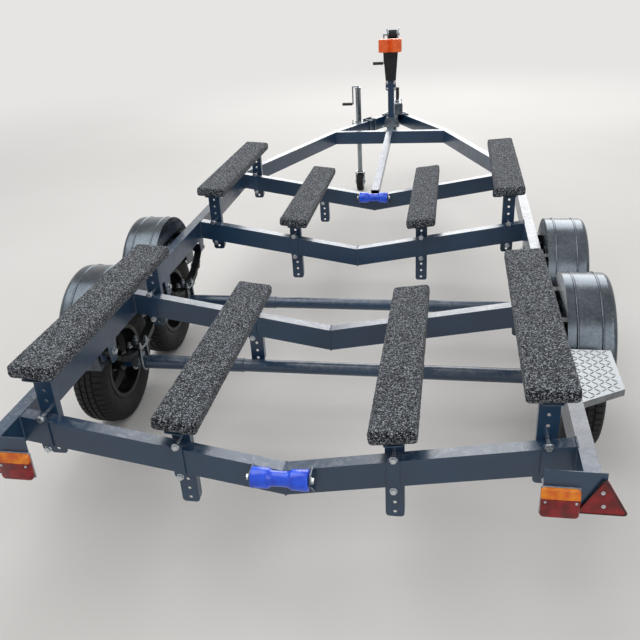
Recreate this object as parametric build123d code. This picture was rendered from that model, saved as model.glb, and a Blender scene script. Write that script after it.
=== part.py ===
from build123d import *
import os
from math import atan2, degrees, hypot, sqrt

# Boat trailer with two axles, in millimetres. +X is right, +Y is forward and +Z is up.
# The sizes below measure Y from the rear face of the rearmost crossmember.

# Frame tubes
FRAME_TOP = 657.0
TUBE_WIDTH = 50.0
TUBE_HEIGHT = 100.0
TUBE_WALL = 3.0
RAIL_INSIDE = 913.0
RAIL_REAR = -150.0
RAIL_BEND = 3060.0
FRONT_CORNER = (466.0, 4290.0)
APEX = 5130.0
VEE_DEPTH = 162.0
VEE_COUNT = 4
VEE_SPACING = 1000.0
FRONT_STATION = 4268.0
SPINE_WIDTH = 50.0
SPINE_HEIGHT = 50.0
SPINE_RISE_OVER_VEE = 30.0

# Wheels and running gear
AXLES = (1004.0, 1695.0)
WHEEL_X = 1080.0
TYRE_RADIUS = 295.0
TYRE_WIDTH = 160.0
TYRE_SHOULDER = 26.0
RIM_RADIUS = 165.0
RIM_WIDTH = 120.0
RIM_WALL = 6.0
FLANGE_HEIGHT = 14.0
FLANGE_WIDTH = 6.0
DISC_OFFSET = 34.0
DISC_THICK = 6.0
DISC_RUNOUT = 22.0
DISC_STEP = 14.0
WELL_RADII = (72.0, 84.0)
HUB_RADIUS = 46.0
HUB_LENGTH = 110.0
HUB_CAP_RADIUS = 27.0
HUB_CAP_LENGTH = 32.0
VENT_COUNT = 8
VENT_RADIUS = 12.0
VENT_CIRCLE = 122.0
VENT_MARGIN = 6.0
AXLE_RADIUS = 30.0
STUB_RADIUS = 17.0
STUB_LENGTH = 80.0
RUNNING_GAP = 0.05
SIDE_GAP = 8.0
LEAF_WIDTH = 40.0
LEAF_THICK = 9.0
LEAF_HALF_LENGTHS = (285.0, 235.0, 170.0, 105.0)
LEAF_CAMBER = 120.0
SEAT_THICK = 20.0
SEAT_LENGTH = 104.0
SEAT_GAP = 0.3
CLIP_PLACE = 205.0
CLIP_LENGTH = 24.0
CLIP_THICK = 3.0
UBOLT_RADIUS = 6.0
UBOLT_STUD = 24.0
SPRING_PLATE_THICK = 10.0
SPRING_PLATE_LENGTH = 100.0
SPRING_PLATE_MARGIN = 5.0
EYE_RADIUS = 17.0
EYE_PIN_RADIUS = 8.0
EYE_PIN_END = 9.0
HANGER_THICK = 4.0
HANGER_GAP = 1.0
HANGER_HALF_LENGTHS = (40.0, 24.0)
HANGER_DROPS = (48.0, 24.0)
HANGER_ROUND = 14.0

# Mudguards and steps
GUARD_CENTRE = 467.0
GUARD_RADIUS = 305.0
GUARD_INSIDE = 982.0
GUARD_WIDTH = 188.0
GUARD_SHEET = 2.5
GUARD_ARC = 200.0
GUARD_CHEEK = 115.0
GUARD_RIB_RADIUS = 6.0
GUARD_RIB_PLACES = (38.0, 132.0)
GUARD_SHOULDER = 24.0
GUARD_LIP = 16.0
STAY_OFFSET = 150.0
STAY_WIDTH = 40.0
STAY_HEIGHT = 60.0
STEP_TOP = 640.0
STEP_SHEET = 3.0
STEP_FOLD = 26.0
STEP_GAP = 6.0
STEP_WIDTH = 150.0
STEP_FRONT = 636.0
STEP_REAR_INSIDE = 274.0
STEP_REAR_OUTSIDE = 367.0
STEP_ARM_MARGIN = 40.0
STEP_ARM = 30.0

# Bunks and their posts
OUTER_BUNK_X = 830.0
INNER_BUNK_X = 362.0
BUNK_WIDTH = 160.0
BUNK_THICK = 50.0
BUNK_LENGTH = 1128.0
BUNK_OVERHANG = 12.0
BUNK_ROUND = 14.0
OUTER_BUNK_TILT = 4.0
INNER_BUNK_TILT = 7.0
OUTER_BUNK_BASE = 807.0
INNER_BUNK_BASE = 627.0
POST_WIDTH = 64.0
POST_DEPTH = 30.0
POST_WALL = 4.0
POST_LENGTH = 335.0
POST_HOLE_RADIUS = 6.5
POST_HOLE_PITCH = 40.0
SADDLE_LENGTH = 90.0
SADDLE_THICK = 4.0
CLAMP_WIDTH = 40.0
CLAMP_THICK = 6.0
CLAMP_MARGIN = 22.0

# Keel rollers
ROLLER_RADIUS = 42.0
ROLLER_WAIST = 27.0
ROLLER_LENGTH = 190.0
ROLLER_CENTRE = 503.0
ROLLER_PIN_RADIUS = 8.0
ROLLER_STATIONS = (0, 3)
ROLLER_OFFSET = 50.0
ROLLER_PIN_END = 8.0
EAR_THICK = 5.0
EAR_GAP = 2.0
EAR_RISE = 20.0
EAR_NOSE = 22.0
EAR_HEEL = 26.0

# Lamp boards
BOARD_SHEET = 3.0
BOARD_GAP = 0.2
BOARD_X = (800.0, 972.0)
BOARD_Z = (545.0, 683.0)
LAMP_X = (794.0, 904.0)
LAMP_Z = (530.0, 627.0)
LAMP_DEPTH = 48.0
LAMP_SPLIT = 577.0
LAMP_BASE = 6.0
LAMP_ROUND = 12.0
LAMP_GAP = 0.5
REFLECTOR_CENTRE = 969.0
REFLECTOR_SIDE = 146.0
REFLECTOR_BASE = 541.0
REFLECTOR_THICK = 7.0
REFLECTOR_ROUND = 8.0

# Winch post, winch and bow stop
POST_Y = 4500.0
MAST_WIDTH = 50.0
MAST_TOP = 1262.0
MAST_WALL = 3.0
FOOT_WIDTH = 140.0
FOOT_LENGTH = 130.0
FOOT_SHEET = 6.0
GUSSET_HEIGHT = 68.0
GUSSET_TOP_WIDTH = 84.0
FOOT_BOLT_RADIUS = 5.0
FOOT_BOLT_PLACE = 50.0
FOOT_BOLT_STUD = 14.0
BRACKET_BASE = 1030.0
BRACKET_WIDTHS = (84.0, 122.0)
BRACKET_SHEET = 5.0
SHELF_LENGTH = 315.0
STOP_WIDTH = 186.0
STOP_HEIGHT = 100.0
STOP_DEPTH = 69.0
STOP_NOTCH = 24.0
STOP_NOTCH_WIDTH = 52.0
STOP_ROUND = 20.0
STOP_EDGE = 5.0
STOP_PLATE_WIDTH = 70.0
STOP_PLATE_HEIGHT = 62.0
WINCH_FORWARD = 245.0
WINCH_RISE = 104.0
WINCH_WIDTH = 90.0
WINCH_SHEET = 4.0
WINCH_LENGTH = 130.0
WINCH_HEIGHT = 150.0
WINCH_TOP_LENGTH = 88.0
WINCH_FLARE = 12.0
WINCH_FLARE_HEIGHT = 34.0
DRUM_GAP = 3.0
DRUM_RADIUS = 42.0
DRUM_CORE = 22.0
DRUM_FLANGE = 4.0
WINCH_SHAFT = 8.0
WINCH_SHAFT_END = 8.0
CRANK_X = -78.0
CRANK_LENGTH = 230.0
CRANK_RADIUS = 6.0
GRIP_RADIUS = 13.0
GRIP_LENGTH = 88.0
GRIP_GAP = 2.0

# Jockey wheel
JOCKEY_ALONG = 0.52
JOCKEY_OFFSET = 96.0
JOCKEY_TUBE_RADIUS = 24.0
JOCKEY_TUBE_WALL = 3.0
JOCKEY_TUBE_Z = (500.0, 930.0)
JOCKEY_LEG_RADIUS = 20.5
JOCKEY_LEG_BASE = 178.0
JOCKEY_LEG_OVERLAP = 140.0
JOCKEY_COLLAR = 26.0
COLLAR_HEIGHT = 10.0
JOCKEY_WHEEL_RADIUS = 80.0
JOCKEY_WHEEL_WIDTH = 60.0
FORK_SHEET = 5.0
FORK_GAP = 6.0
FORK_LENGTH = 50.0
FORK_TIP = 24.0
JOCKEY_PIN_END = 6.0
JOCKEY_TREAD_ROUND = 12.0
JOCKEY_PIN_RADIUS = 8.0
SWIVEL_GAP = 0.4
CLAMP_LENGTH = 120.0
CLAMP_HEIGHT = 70.0
CLAMP_PLATE = 8.0
CLAMP_PLATE_MARGIN = 18.0
CLAMP_ARM_WIDTH = 44.0
CLAMP_RING = 7.0
CLAMP_BOLT_RADIUS = 5.0
CLAMP_BOLT_PLACE = 38.0
CLAMP_SCREW_LENGTH = 48.0
CLAMP_HANDLE_RADIUS = 4.0
CLAMP_HANDLE_HALF = 34.0
CLAMP_HANDLE_MARGIN = 8.0
JOCKEY_CAP_RADIUS = 27.0
JOCKEY_CAP_HEIGHT = 14.0
JOCKEY_SPINDLE = 8.0
JOCKEY_CRANK_REACH = 48.0
JOCKEY_CRANK_DROP = 150.0

# Coupling head
HEAD_Y = 5250.0
HEAD_RADIUS = 39.0
SOCKET_RADIUS = 25.0
SOCKET_DEPTH = 42.0
HEAD_PLATE = 11.0
HEAD_HEIGHT = 80.0
HEAD_ROUND = 12.0
HEAD_REAR = 5010.0
HEAD_BODY_WIDTHS = (124.0, 56.0)
HEAD_PLATE_TIP = 20.0
HEAD_PLATE_HALF = 120.0
HEAD_PLATE_LENGTH = 210.0
LEVER_SHEET = 6.0
LEVER_WIDTH = 30.0
LEVER_PROFILE = ((60.0, 0.0), (196.0, 0.0), (222.0, 18.0), (228.0, 104.0))

RAIL_CENTRE = RAIL_INSIDE + TUBE_WIDTH / 2
FRAME_BASE = FRAME_TOP - TUBE_HEIGHT
VEE_STATIONS = [VEE_SPACING * count for count in range(VEE_COUNT)]
HEAD_BASE = FRAME_TOP + HEAD_PLATE
REARMOST = RAIL_REAR - BOARD_GAP - BOARD_SHEET - LAMP_DEPTH
FOREMOST = HEAD_Y + HEAD_RADIUS
CENTRE_Y = (REARMOST + FOREMOST) / 2

os.makedirs("parts", exist_ok=True)


def save(name, *shapes):
    """Write the solids of one node, centred along the trailer."""
    solids = [solid for shape in shapes for solid in shape.solids()]
    whole = solids[0] if len(solids) == 1 else Compound(children=solids)
    export_step(Pos(0, -CENTRE_Y, 0) * whole, f"parts/{name}.step")


def block(xs, ys, zs):
    """A box given by its two limits along each axis."""
    spans = [high - low for low, high in (xs, ys, zs)]
    middle = [(high + low) / 2 for low, high in (xs, ys, zs)]
    return Pos(*middle) * Box(*spans)


def plan(points, zs):
    """A plate with an outline seen from above."""
    face = make_face(Polyline(*points, close=True))
    return extrude(Plane.XY.offset(zs[0]) * face, zs[1] - zs[0])


def front(points, ys):
    """A plate with an outline seen from behind, in X and Z."""
    face = make_face(Polyline(*points, close=True))
    place = Plane(origin=(0, ys[1], 0), x_dir=(1, 0, 0), z_dir=(0, -1, 0))
    return extrude(place * face, ys[1] - ys[0])


def side(face, xs):
    """A plate with a face drawn in Y and Z."""
    place = Plane(origin=(xs[0], 0, 0), x_dir=(0, 1, 0), z_dir=(1, 0, 0))
    return extrude(place * face, xs[1] - xs[0])


def rod(start, end, radius):
    """A round bar from one point to another."""
    run = Vector(*end) - Vector(*start)
    place = Plane(origin=start, z_dir=run.normalized())
    return extrude(place * Circle(radius), run.length)


def mirrored(shape):
    """The same piece on the other side of the trailer."""
    return mirror(shape, Plane.YZ)


def both(shape):
    """A piece and its mirror image."""
    return [shape, mirrored(shape)]


def offset_path(points, distance):
    """A plan path moved sideways, with mitred corners."""
    steps = [(b[0] - a[0], b[1] - a[1]) for a, b in zip(points, points[1:])]
    normals = [(-dy / hypot(dx, dy), dx / hypot(dx, dy)) for dx, dy in steps]
    moved = []
    for index, (x, y) in enumerate(points):
        before = normals[max(index - 1, 0)]
        after = normals[min(index, len(normals) - 1)]
        share = distance / (1 + before[0] * after[0] + before[1] * after[1])
        moved.append((x + share * (before[0] + after[0]), y + share * (before[1] + after[1])))
    return moved


def cross(line, y):
    """The X where a plan line reaches Y."""
    (x0, y0), (x1, y1) = line
    return x0 + (x1 - x0) * (y - y0) / (y1 - y0)


# Right side of the frame: rail, converging rail and drawbar on one path, mitred at the bends
PATH = [(RAIL_CENTRE, RAIL_REAR), (RAIL_CENTRE, RAIL_BEND), FRONT_CORNER, (0.0, APEX),
        (-FRONT_CORNER[0], FRONT_CORNER[1])]
INSIDE = offset_path(PATH, TUBE_WIDTH / 2)
OUTSIDE = offset_path(PATH, -TUBE_WIDTH / 2)


def path_tube(index):
    """One straight tube of the frame's side, hollow and cut to its mitres."""
    hollow = TUBE_WIDTH / 2 - TUBE_WALL
    lanes = [(INSIDE, OUTSIDE), (offset_path(PATH, hollow), offset_path(PATH, -hollow))]
    outer, inner = [[a[index], a[index + 1], b[index + 1], b[index]] for a, b in lanes]
    skin = plan(outer, (FRAME_BASE, FRAME_TOP))
    return skin - plan(inner, (FRAME_BASE + TUBE_WALL, FRAME_TOP - TUBE_WALL))


def make_rails():
    save("main_rails", *both(path_tube(0)))
    save("front_rails", *both(path_tube(1)))
    drawbar = path_tube(2)
    save("drawbar_right", drawbar)
    save("drawbar_left", mirrored(drawbar))


def vee_height(x):
    """Drop of a crossmember's top below the frame at X."""
    return VEE_DEPTH * (1 - abs(x) / RAIL_INSIDE)


def make_crossmembers():
    def outline(inset):
        top = FRAME_TOP - inset
        base = FRAME_BASE + inset
        return [(-RAIL_INSIDE, top), (0, top - VEE_DEPTH), (RAIL_INSIDE, top),
                (RAIL_INSIDE, base), (0, base - VEE_DEPTH), (-RAIL_INSIDE, base)]
    vees = []
    for station in VEE_STATIONS:
        skin = front(outline(0), (station, station + TUBE_WIDTH))
        core = front(outline(TUBE_WALL), (station + TUBE_WALL, station + TUBE_WIDTH - TUBE_WALL))
        vees.append(skin - core)
    save("vee_crossmembers", *vees)


def make_front_crossmember():
    rear, fore = FRONT_STATION, FRONT_STATION + TUBE_WIDTH
    corner = INSIDE[2]
    half = [(cross(INSIDE[1:3], rear), rear), corner, (cross(INSIDE[2:4], fore), fore)]
    outline = half + [(-x, y) for x, y in reversed(half)]
    core = block((-half[2][0] + TUBE_WALL, half[2][0] - TUBE_WALL), (rear + TUBE_WALL, fore - TUBE_WALL),
                 (FRAME_BASE + TUBE_WALL, FRAME_TOP - TUBE_WALL))
    save("front_crossmember", plan(outline, (FRAME_BASE, FRAME_TOP)) - core)


def make_spine():
    rear, fore = VEE_STATIONS[-1] + TUBE_WIDTH, FRONT_STATION
    low = FRAME_TOP - VEE_DEPTH + SPINE_RISE_OVER_VEE

    def outline(inset):
        return [(rear, low - inset), (fore, FRAME_TOP - inset),
                (fore, FRAME_TOP - SPINE_HEIGHT + inset), (rear, low - SPINE_HEIGHT + inset)]

    def run(inset):
        half = SPINE_WIDTH / 2 - inset
        return side(make_face(Polyline(*outline(inset), close=True)), (-half, half))
    save("spine_tube", run(0) - run(TUBE_WALL))


def make_tongue():
    rear = FRONT_STATION + TUBE_WIDTH
    apex_line = [(y, x) for x, y in INSIDE[2:4]]

    def outline(half):
        shoulder = cross(apex_line, half)
        return [(-half, rear), (half, rear), (half, shoulder), (0, INSIDE[3][1]), (-half, shoulder)]
    hollow = SPINE_WIDTH / 2 - TUBE_WALL
    skin = plan(outline(SPINE_WIDTH / 2), (FRAME_BASE, FRAME_TOP))
    save("tongue_tube", skin - plan(outline(hollow), (FRAME_BASE + TUBE_WALL, FRAME_TOP - TUBE_WALL)))


# Bunks: one row for each across the trailer
BUNK_ROWS = [
    # centre X, height of the underside, tilt about Y with the outer edge up
    (OUTER_BUNK_X, OUTER_BUNK_BASE, OUTER_BUNK_TILT),
    (INNER_BUNK_X, INNER_BUNK_BASE, INNER_BUNK_TILT),
]


def make_bunks():
    board = fillet(Box(BUNK_WIDTH, BUNK_LENGTH, BUNK_THICK).edges(), BUNK_ROUND)
    for label, (x, base, tilt) in zip(("outer", "inner"), BUNK_ROWS):
        bunks = []
        for station in (VEE_STATIONS[0], VEE_STATIONS[2]):
            middle = station - BUNK_OVERHANG + BUNK_LENGTH / 2
            bunks += both(Pos(x, middle, base) * Rot(0, -tilt, 0) * Pos(0, 0, BUNK_THICK / 2) * board)
        save(f"bunks_{label}", *bunks)


def make_posts():
    posts, clamps = [], []
    for station in VEE_STATIONS:
        back = station + TUBE_WIDTH
        for x, base, tilt in BUNK_ROWS:
            tip = base - POST_LENGTH
            channel = block((-POST_WIDTH / 2, POST_WIDTH / 2), (back, back + POST_DEPTH), (tip, base + POST_WIDTH))
            channel -= block((POST_WALL - POST_WIDTH / 2, POST_WIDTH / 2 - POST_WALL),
                             (back + POST_WALL, back + POST_DEPTH), (tip, base + POST_WIDTH))
            holes = int(POST_LENGTH / POST_HOLE_PITCH)
            for count in range(holes):
                z = tip + POST_HOLE_PITCH * (count + 0.5)
                channel -= rod((0, back, z), (0, back + POST_WALL, z), POST_HOLE_RADIUS)
            lean = Pos(x, 0, base) * Rot(0, -tilt, 0)
            over = block((-POST_WIDTH, POST_WIDTH), (back, back + POST_DEPTH), (-SADDLE_THICK, POST_WIDTH * 2))
            plate = block((-POST_WIDTH / 2, POST_WIDTH / 2), (back + POST_DEPTH - SADDLE_LENGTH, back + POST_DEPTH),
                          (-SADDLE_THICK, 0))
            posts += both(Pos(x, 0, 0) * channel - lean * over + lean * plate)
            drop = vee_height(x)
            strap = block((x - CLAMP_WIDTH / 2, x + CLAMP_WIDTH / 2), (station - CLAMP_THICK, station),
                          (FRAME_BASE - drop - CLAMP_MARGIN, FRAME_TOP - drop + CLAMP_MARGIN))
            clamps += both(strap)
    save("bunk_posts", *posts)
    save("post_clamps", *clamps)


def spring_clamp(leaf_x, y, low, leaf_top, bend):
    """Plate on a spring pack, with two bent bolts that go under the axle beside the leaves."""
    turn = AXLE_RADIUS + SEAT_GAP + UBOLT_RADIUS
    legs_x = (leaf_x[0] - SEAT_GAP - UBOLT_RADIUS, leaf_x[1] + SEAT_GAP + UBOLT_RADIUS)
    reach = UBOLT_RADIUS + SPRING_PLATE_MARGIN
    half = SPRING_PLATE_LENGTH / 2
    plate_top = leaf_top + half ** 2 / (2 * bend) + SPRING_PLATE_THICK
    plate = block((legs_x[0] - reach, legs_x[1] + reach), (y - half, y + half), (leaf_top, plate_top))
    clamp = plate & side(Pos(y, leaf_top + bend) * Circle(bend - SEAT_GAP), (legs_x[0] - reach, legs_x[1] + reach))
    for x in legs_x:
        hoop = Pos(x, y, low) * Rot(0, 90, 0) * Torus(turn, UBOLT_RADIUS)
        clamp += hoop & block((x - turn, x + turn), (y - 2 * turn, y + 2 * turn), (low - 2 * turn, low))
        for shift in (-turn, turn):
            clamp += rod((x, y + shift, low), (x, y + shift, plate_top + UBOLT_STUD), UBOLT_RADIUS)
    return clamp


def make_running_gear():
    axle_tubes, springs, seats = [], [], []
    tube_end = WHEEL_X - HUB_LENGTH / 2 - SIDE_GAP
    stub_end = tube_end + STUB_LENGTH
    leaf_base = TYRE_RADIUS + AXLE_RADIUS + SEAT_THICK
    leaf_top = leaf_base + LEAF_THICK * len(LEAF_HALF_LENGTHS)
    reach = LEAF_HALF_LENGTHS[0]
    bend = (reach ** 2 + LEAF_CAMBER ** 2) / (2 * LEAF_CAMBER)
    eye_z = leaf_top + LEAF_CAMBER + EYE_RADIUS / 2
    leaf_x = (RAIL_CENTRE - LEAF_WIDTH / 2, RAIL_CENTRE + LEAF_WIDTH / 2)
    clip_turn = degrees(CLIP_PLACE / bend)
    for y in AXLES:
        tube = rod((-tube_end, y, TYRE_RADIUS), (tube_end, y, TYRE_RADIUS), AXLE_RADIUS)
        axle_tubes.append(tube + rod((-stub_end, y, TYRE_RADIUS), (stub_end, y, TYRE_RADIUS), STUB_RADIUS))
        pack = Sketch()
        centre = Pos(y, leaf_top + bend)
        for order, half in enumerate(LEAF_HALF_LENGTHS):
            ring = Circle(bend + LEAF_THICK * (order + 1)) - Circle(bend + LEAF_THICK * order)
            window = Pos(y, leaf_base + LEAF_CAMBER / 2) * Rectangle(2 * half, 4 * LEAF_CAMBER)
            pack += (centre * ring) & window
        for end in (y - reach, y + reach):
            pack += Pos(end, eye_z) * Circle(EYE_RADIUS)
        for end in (y - reach, y + reach):
            pack -= Pos(end, eye_z) * Circle(EYE_PIN_RADIUS + RUNNING_GAP)
        spring = side(pack, leaf_x)
        # the clips hold the two longest leaves together
        deep = 2 * LEAF_THICK + 2 * CLIP_THICK
        clip = Box(LEAF_WIDTH + 2 * CLIP_THICK, CLIP_LENGTH, deep)
        for turn in (-clip_turn, clip_turn):
            place = Pos(RAIL_CENTRE, y, leaf_top + bend) * Rot(turn, 0, 0)
            spring += place * Pos(0, 0, -bend - LEAF_THICK) * clip
        springs += both(spring)
        seat = block(leaf_x, (y - SEAT_LENGTH / 2, y + SEAT_LENGTH / 2), (TYRE_RADIUS, leaf_base))
        seat -= rod((leaf_x[0], y, TYRE_RADIUS), (leaf_x[1], y, TYRE_RADIUS), AXLE_RADIUS)
        seats += both(seat) + both(spring_clamp(leaf_x, y, TYRE_RADIUS, leaf_top, bend))
    save("axles", *axle_tubes)
    save("leaf_springs", *springs)
    save("spring_seats", *seats)
    make_hangers(leaf_x, reach, eye_z)


def make_hangers(leaf_x, reach, eye_z):
    """A hanger at each end of each spring: two cheeks, a web at the far end and the eye's pin."""
    outer_x = (leaf_x[0] - HANGER_GAP - HANGER_THICK, leaf_x[1] + HANGER_GAP + HANGER_THICK)
    top, low = HANGER_HALF_LENGTHS
    hangers = []
    for axle in AXLES:
        # the rear hanger is the longer one
        for end, drop in zip((-1, 1), HANGER_DROPS):
            y = axle + end * reach
            face = make_face(Polyline((y - top, FRAME_BASE), (y + top, FRAME_BASE), (y + low, eye_z - drop),
                                      (y - low, eye_z - drop), close=True))
            face = fillet(face.vertices().group_by(Axis.Y)[0], HANGER_ROUND)
            hanger = side(face, outer_x) - block((outer_x[0] + HANGER_THICK, outer_x[1] - HANGER_THICK),
                                                 (y - 2 * top, y + 2 * top), (eye_z - 2 * drop, FRAME_BASE))
            web = sorted((y + end * top, y + end * (top - HANGER_THICK)))
            hanger += block(outer_x, web, (FRAME_BASE - HANGER_THICK, FRAME_BASE))
            hanger += rod((outer_x[0] - EYE_PIN_END, y, eye_z), (outer_x[1] + EYE_PIN_END, y, eye_z), EYE_PIN_RADIUS)
            hangers += both(hanger)
    save("spring_hangers", *hangers)


def tyre():
    half, bead = TYRE_WIDTH / 2, RIM_WIDTH / 2
    flank = (TYRE_RADIUS + RIM_RADIUS) / 2
    outline = [(-bead, RIM_RADIUS), (bead, RIM_RADIUS), (bead, RIM_RADIUS + FLANGE_HEIGHT), (half, flank),
               (half, TYRE_RADIUS), (-half, TYRE_RADIUS), (-half, flank), (-bead, RIM_RADIUS + FLANGE_HEIGHT)]
    face = make_face(Polyline(*outline, close=True))
    crown = [corner for corner in face.vertices() if corner.Y > TYRE_RADIUS - 1]
    face = fillet(crown, TYRE_SHOULDER)
    return revolve(face, Axis.X, 360)


def rim():
    """Barrel with two flanges, dished disc with round vents, and the hub with its blind bore."""
    bead = RIM_WIDTH / 2
    inside = RIM_RADIUS - RIM_WALL
    section = Pos(0, (RIM_RADIUS + inside) / 2) * Rectangle(RIM_WIDTH, RIM_WALL)
    for end in (-1, 1):
        section += Pos(end * (bead + FLANGE_WIDTH / 2), (inside + RIM_RADIUS + FLANGE_HEIGHT) / 2) * Rectangle(
            FLANGE_WIDTH, RIM_WALL + FLANGE_HEIGHT)
    well = DISC_OFFSET - DISC_STEP
    dish = [(DISC_OFFSET - DISC_RUNOUT, inside), (DISC_OFFSET, VENT_CIRCLE + VENT_RADIUS + VENT_MARGIN),
            (DISC_OFFSET, WELL_RADII[1]), (well, WELL_RADII[0]), (well, HUB_RADIUS)]
    back = [(x - DISC_THICK, r) for x, r in reversed(dish)]
    section += make_face(Polyline(*dish, *back, close=True))
    body = revolve(section, Axis.X, 360)
    body += rod((-HUB_LENGTH / 2, 0, 0), (HUB_LENGTH / 2, 0, 0), HUB_RADIUS)
    body += rod((HUB_LENGTH / 2, 0, 0), (HUB_LENGTH / 2 + HUB_CAP_LENGTH, 0, 0), HUB_CAP_RADIUS)
    bore_end = STUB_LENGTH - HUB_LENGTH / 2
    body -= rod((-HUB_LENGTH / 2, 0, 0), (bore_end, 0, 0), STUB_RADIUS + RUNNING_GAP)
    for count in range(VENT_COUNT):
        vent = rod((0, VENT_CIRCLE, 0), (DISC_OFFSET + DISC_THICK, VENT_CIRCLE, 0), VENT_RADIUS)
        body -= Rot(360 / VENT_COUNT * count, 0, 0) * vent
    return body


def make_wheels():
    rubber, steel = tyre(), rim()
    for place, y in zip(("rear", "front"), AXLES):
        for hand in ("right", "left"):
            for kind, shape in (("tyre", rubber), ("rim", steel)):
                placed = Pos(WHEEL_X, y, TYRE_RADIUS) * shape
                save(f"{kind}_{place}_{hand}", placed if hand == "right" else mirrored(placed))


def guard_profile(inset):
    """Half section of a mudguard from its open inside to its rounded outer shoulder and lip."""
    depth = GUARD_SHOULDER + GUARD_LIP
    width, height = GUARD_WIDTH - inset, depth - inset
    face = Pos(width / 2, GUARD_RADIUS - depth + height / 2) * Rectangle(width, height)
    shoulder = face.vertices().group_by(Axis.Y)[-1].sort_by(Axis.X)[-1]
    return fillet(shoulder, GUARD_SHOULDER - inset)


def make_mudguards():
    guards, stays = [], []
    section = guard_profile(0) - guard_profile(GUARD_SHEET)
    section += Pos(GUARD_SHEET / 2, GUARD_RADIUS - GUARD_CHEEK / 2) * Rectangle(GUARD_SHEET, GUARD_CHEEK)
    for place in GUARD_RIB_PLACES:
        section += Pos(place, GUARD_RADIUS - GUARD_SHEET) * Circle(GUARD_RIB_RADIUS)
    shell = Rot((180 - GUARD_ARC) / 2, 0, 0) * revolve(section, Axis.X, GUARD_ARC)
    for y in AXLES:
        guards += both(Pos(GUARD_INSIDE, y, GUARD_CENTRE) * shell)
        for shift in (-STAY_OFFSET, STAY_OFFSET):
            stays += both(block((RAIL_INSIDE + TUBE_WIDTH, GUARD_INSIDE),
                                (y + shift - STAY_WIDTH / 2, y + shift + STAY_WIDTH / 2),
                                (FRAME_TOP - STAY_HEIGHT - TUBE_WALL, FRAME_TOP - TUBE_WALL)))
    save("mudguards", *guards)
    return stays


def make_steps():
    inside = RAIL_INSIDE + TUBE_WIDTH + STEP_GAP
    outside = inside + STEP_WIDTH
    outline = [(inside, STEP_REAR_INSIDE), (outside, STEP_REAR_OUTSIDE), (outside, STEP_FRONT), (inside, STEP_FRONT)]
    tray = plan(outline, (STEP_TOP - STEP_FOLD, STEP_TOP))
    hollow = offset(make_face(Polyline(*outline, close=True)), -STEP_SHEET)
    tray -= extrude(Plane.XY.offset(STEP_TOP - STEP_FOLD) * hollow, STEP_FOLD - STEP_SHEET)
    save("steps", *both(tray))
    arms = []
    for y in (STEP_REAR_OUTSIDE + STEP_ARM_MARGIN, STEP_FRONT - STEP_ARM_MARGIN):
        arms.append(block((RAIL_INSIDE + TUBE_WIDTH, outside - STEP_SHEET), (y - STEP_ARM / 2, y + STEP_ARM / 2),
                          (STEP_TOP - STEP_FOLD - STEP_ARM / 2, STEP_TOP - STEP_FOLD)))
    return [piece for arm in arms for piece in both(arm)]


def make_rollers():
    brackets = []
    for name, index in zip(("rear", "front"), ROLLER_STATIONS):
        face_y = VEE_STATIONS[index]
        y = face_y - ROLLER_OFFSET
        half = ROLLER_LENGTH / 2
        belly = ThreePointArc((-half, ROLLER_RADIUS), (0, ROLLER_WAIST), (half, ROLLER_RADIUS))
        walls = Polyline((half, ROLLER_RADIUS), (half, ROLLER_PIN_RADIUS + RUNNING_GAP),
                         (-half, ROLLER_PIN_RADIUS + RUNNING_GAP), (-half, ROLLER_RADIUS))
        save(f"keel_roller_{name}", Pos(0, y, ROLLER_CENTRE) * revolve(make_face([belly, walls]), Axis.X, 360))
        ear_in = half + EAR_GAP
        low = FRAME_BASE - vee_height(ear_in) + TUBE_WALL
        ears = []
        for hand in (-1, 1):
            xs = sorted((hand * ear_in, hand * (ear_in + EAR_THICK)))
            ear = make_face(Polyline((face_y, low), (face_y, ROLLER_CENTRE + EAR_RISE),
                                     (y, ROLLER_CENTRE + EAR_RISE), (y, ROLLER_CENTRE - EAR_HEEL), close=True))
            ears.append(side(ear + Pos(y, ROLLER_CENTRE) * Circle(EAR_NOSE), xs))
        pin_end = ear_in + EAR_THICK + ROLLER_PIN_END
        pin = rod((-pin_end, y, ROLLER_CENTRE), (pin_end, y, ROLLER_CENTRE), ROLLER_PIN_RADIUS)
        brackets.append(ears[0] + ears[1] + pin)
    save("roller_brackets", *brackets)


def make_lamp_boards():
    rear = RAIL_REAR - BOARD_GAP - BOARD_SHEET
    save("lamp_boards", *both(block(BOARD_X, (rear, rear + BOARD_SHEET), BOARD_Z)))
    save("lamp_bases", *both(block(LAMP_X, (rear - LAMP_BASE, rear), LAMP_Z)))
    back = rear - LAMP_BASE
    for name, zs in (("lamp_amber", (LAMP_SPLIT, LAMP_Z[1])), ("lamp_red", (LAMP_Z[0], LAMP_SPLIT))):
        lens = block(LAMP_X, (REARMOST, back), zs)
        lens = fillet(lens.edges().filter_by(Axis.Z).group_by(Axis.Y)[0], LAMP_ROUND)
        save(name, *both(lens))
    height = REFLECTOR_SIDE * sqrt(3) / 2
    corners = [(REFLECTOR_CENTRE - REFLECTOR_SIDE / 2, REFLECTOR_BASE),
               (REFLECTOR_CENTRE + REFLECTOR_SIDE / 2, REFLECTOR_BASE),
               (REFLECTOR_CENTRE, REFLECTOR_BASE + height)]
    triangle = front(corners, (rear - REFLECTOR_THICK, rear))
    triangle = fillet(triangle.edges().filter_by(Axis.Y), REFLECTOR_ROUND)
    save("reflectors", *both(triangle - block((LAMP_X[0], LAMP_X[1] + LAMP_GAP), (REARMOST, rear), LAMP_Z)))


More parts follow.
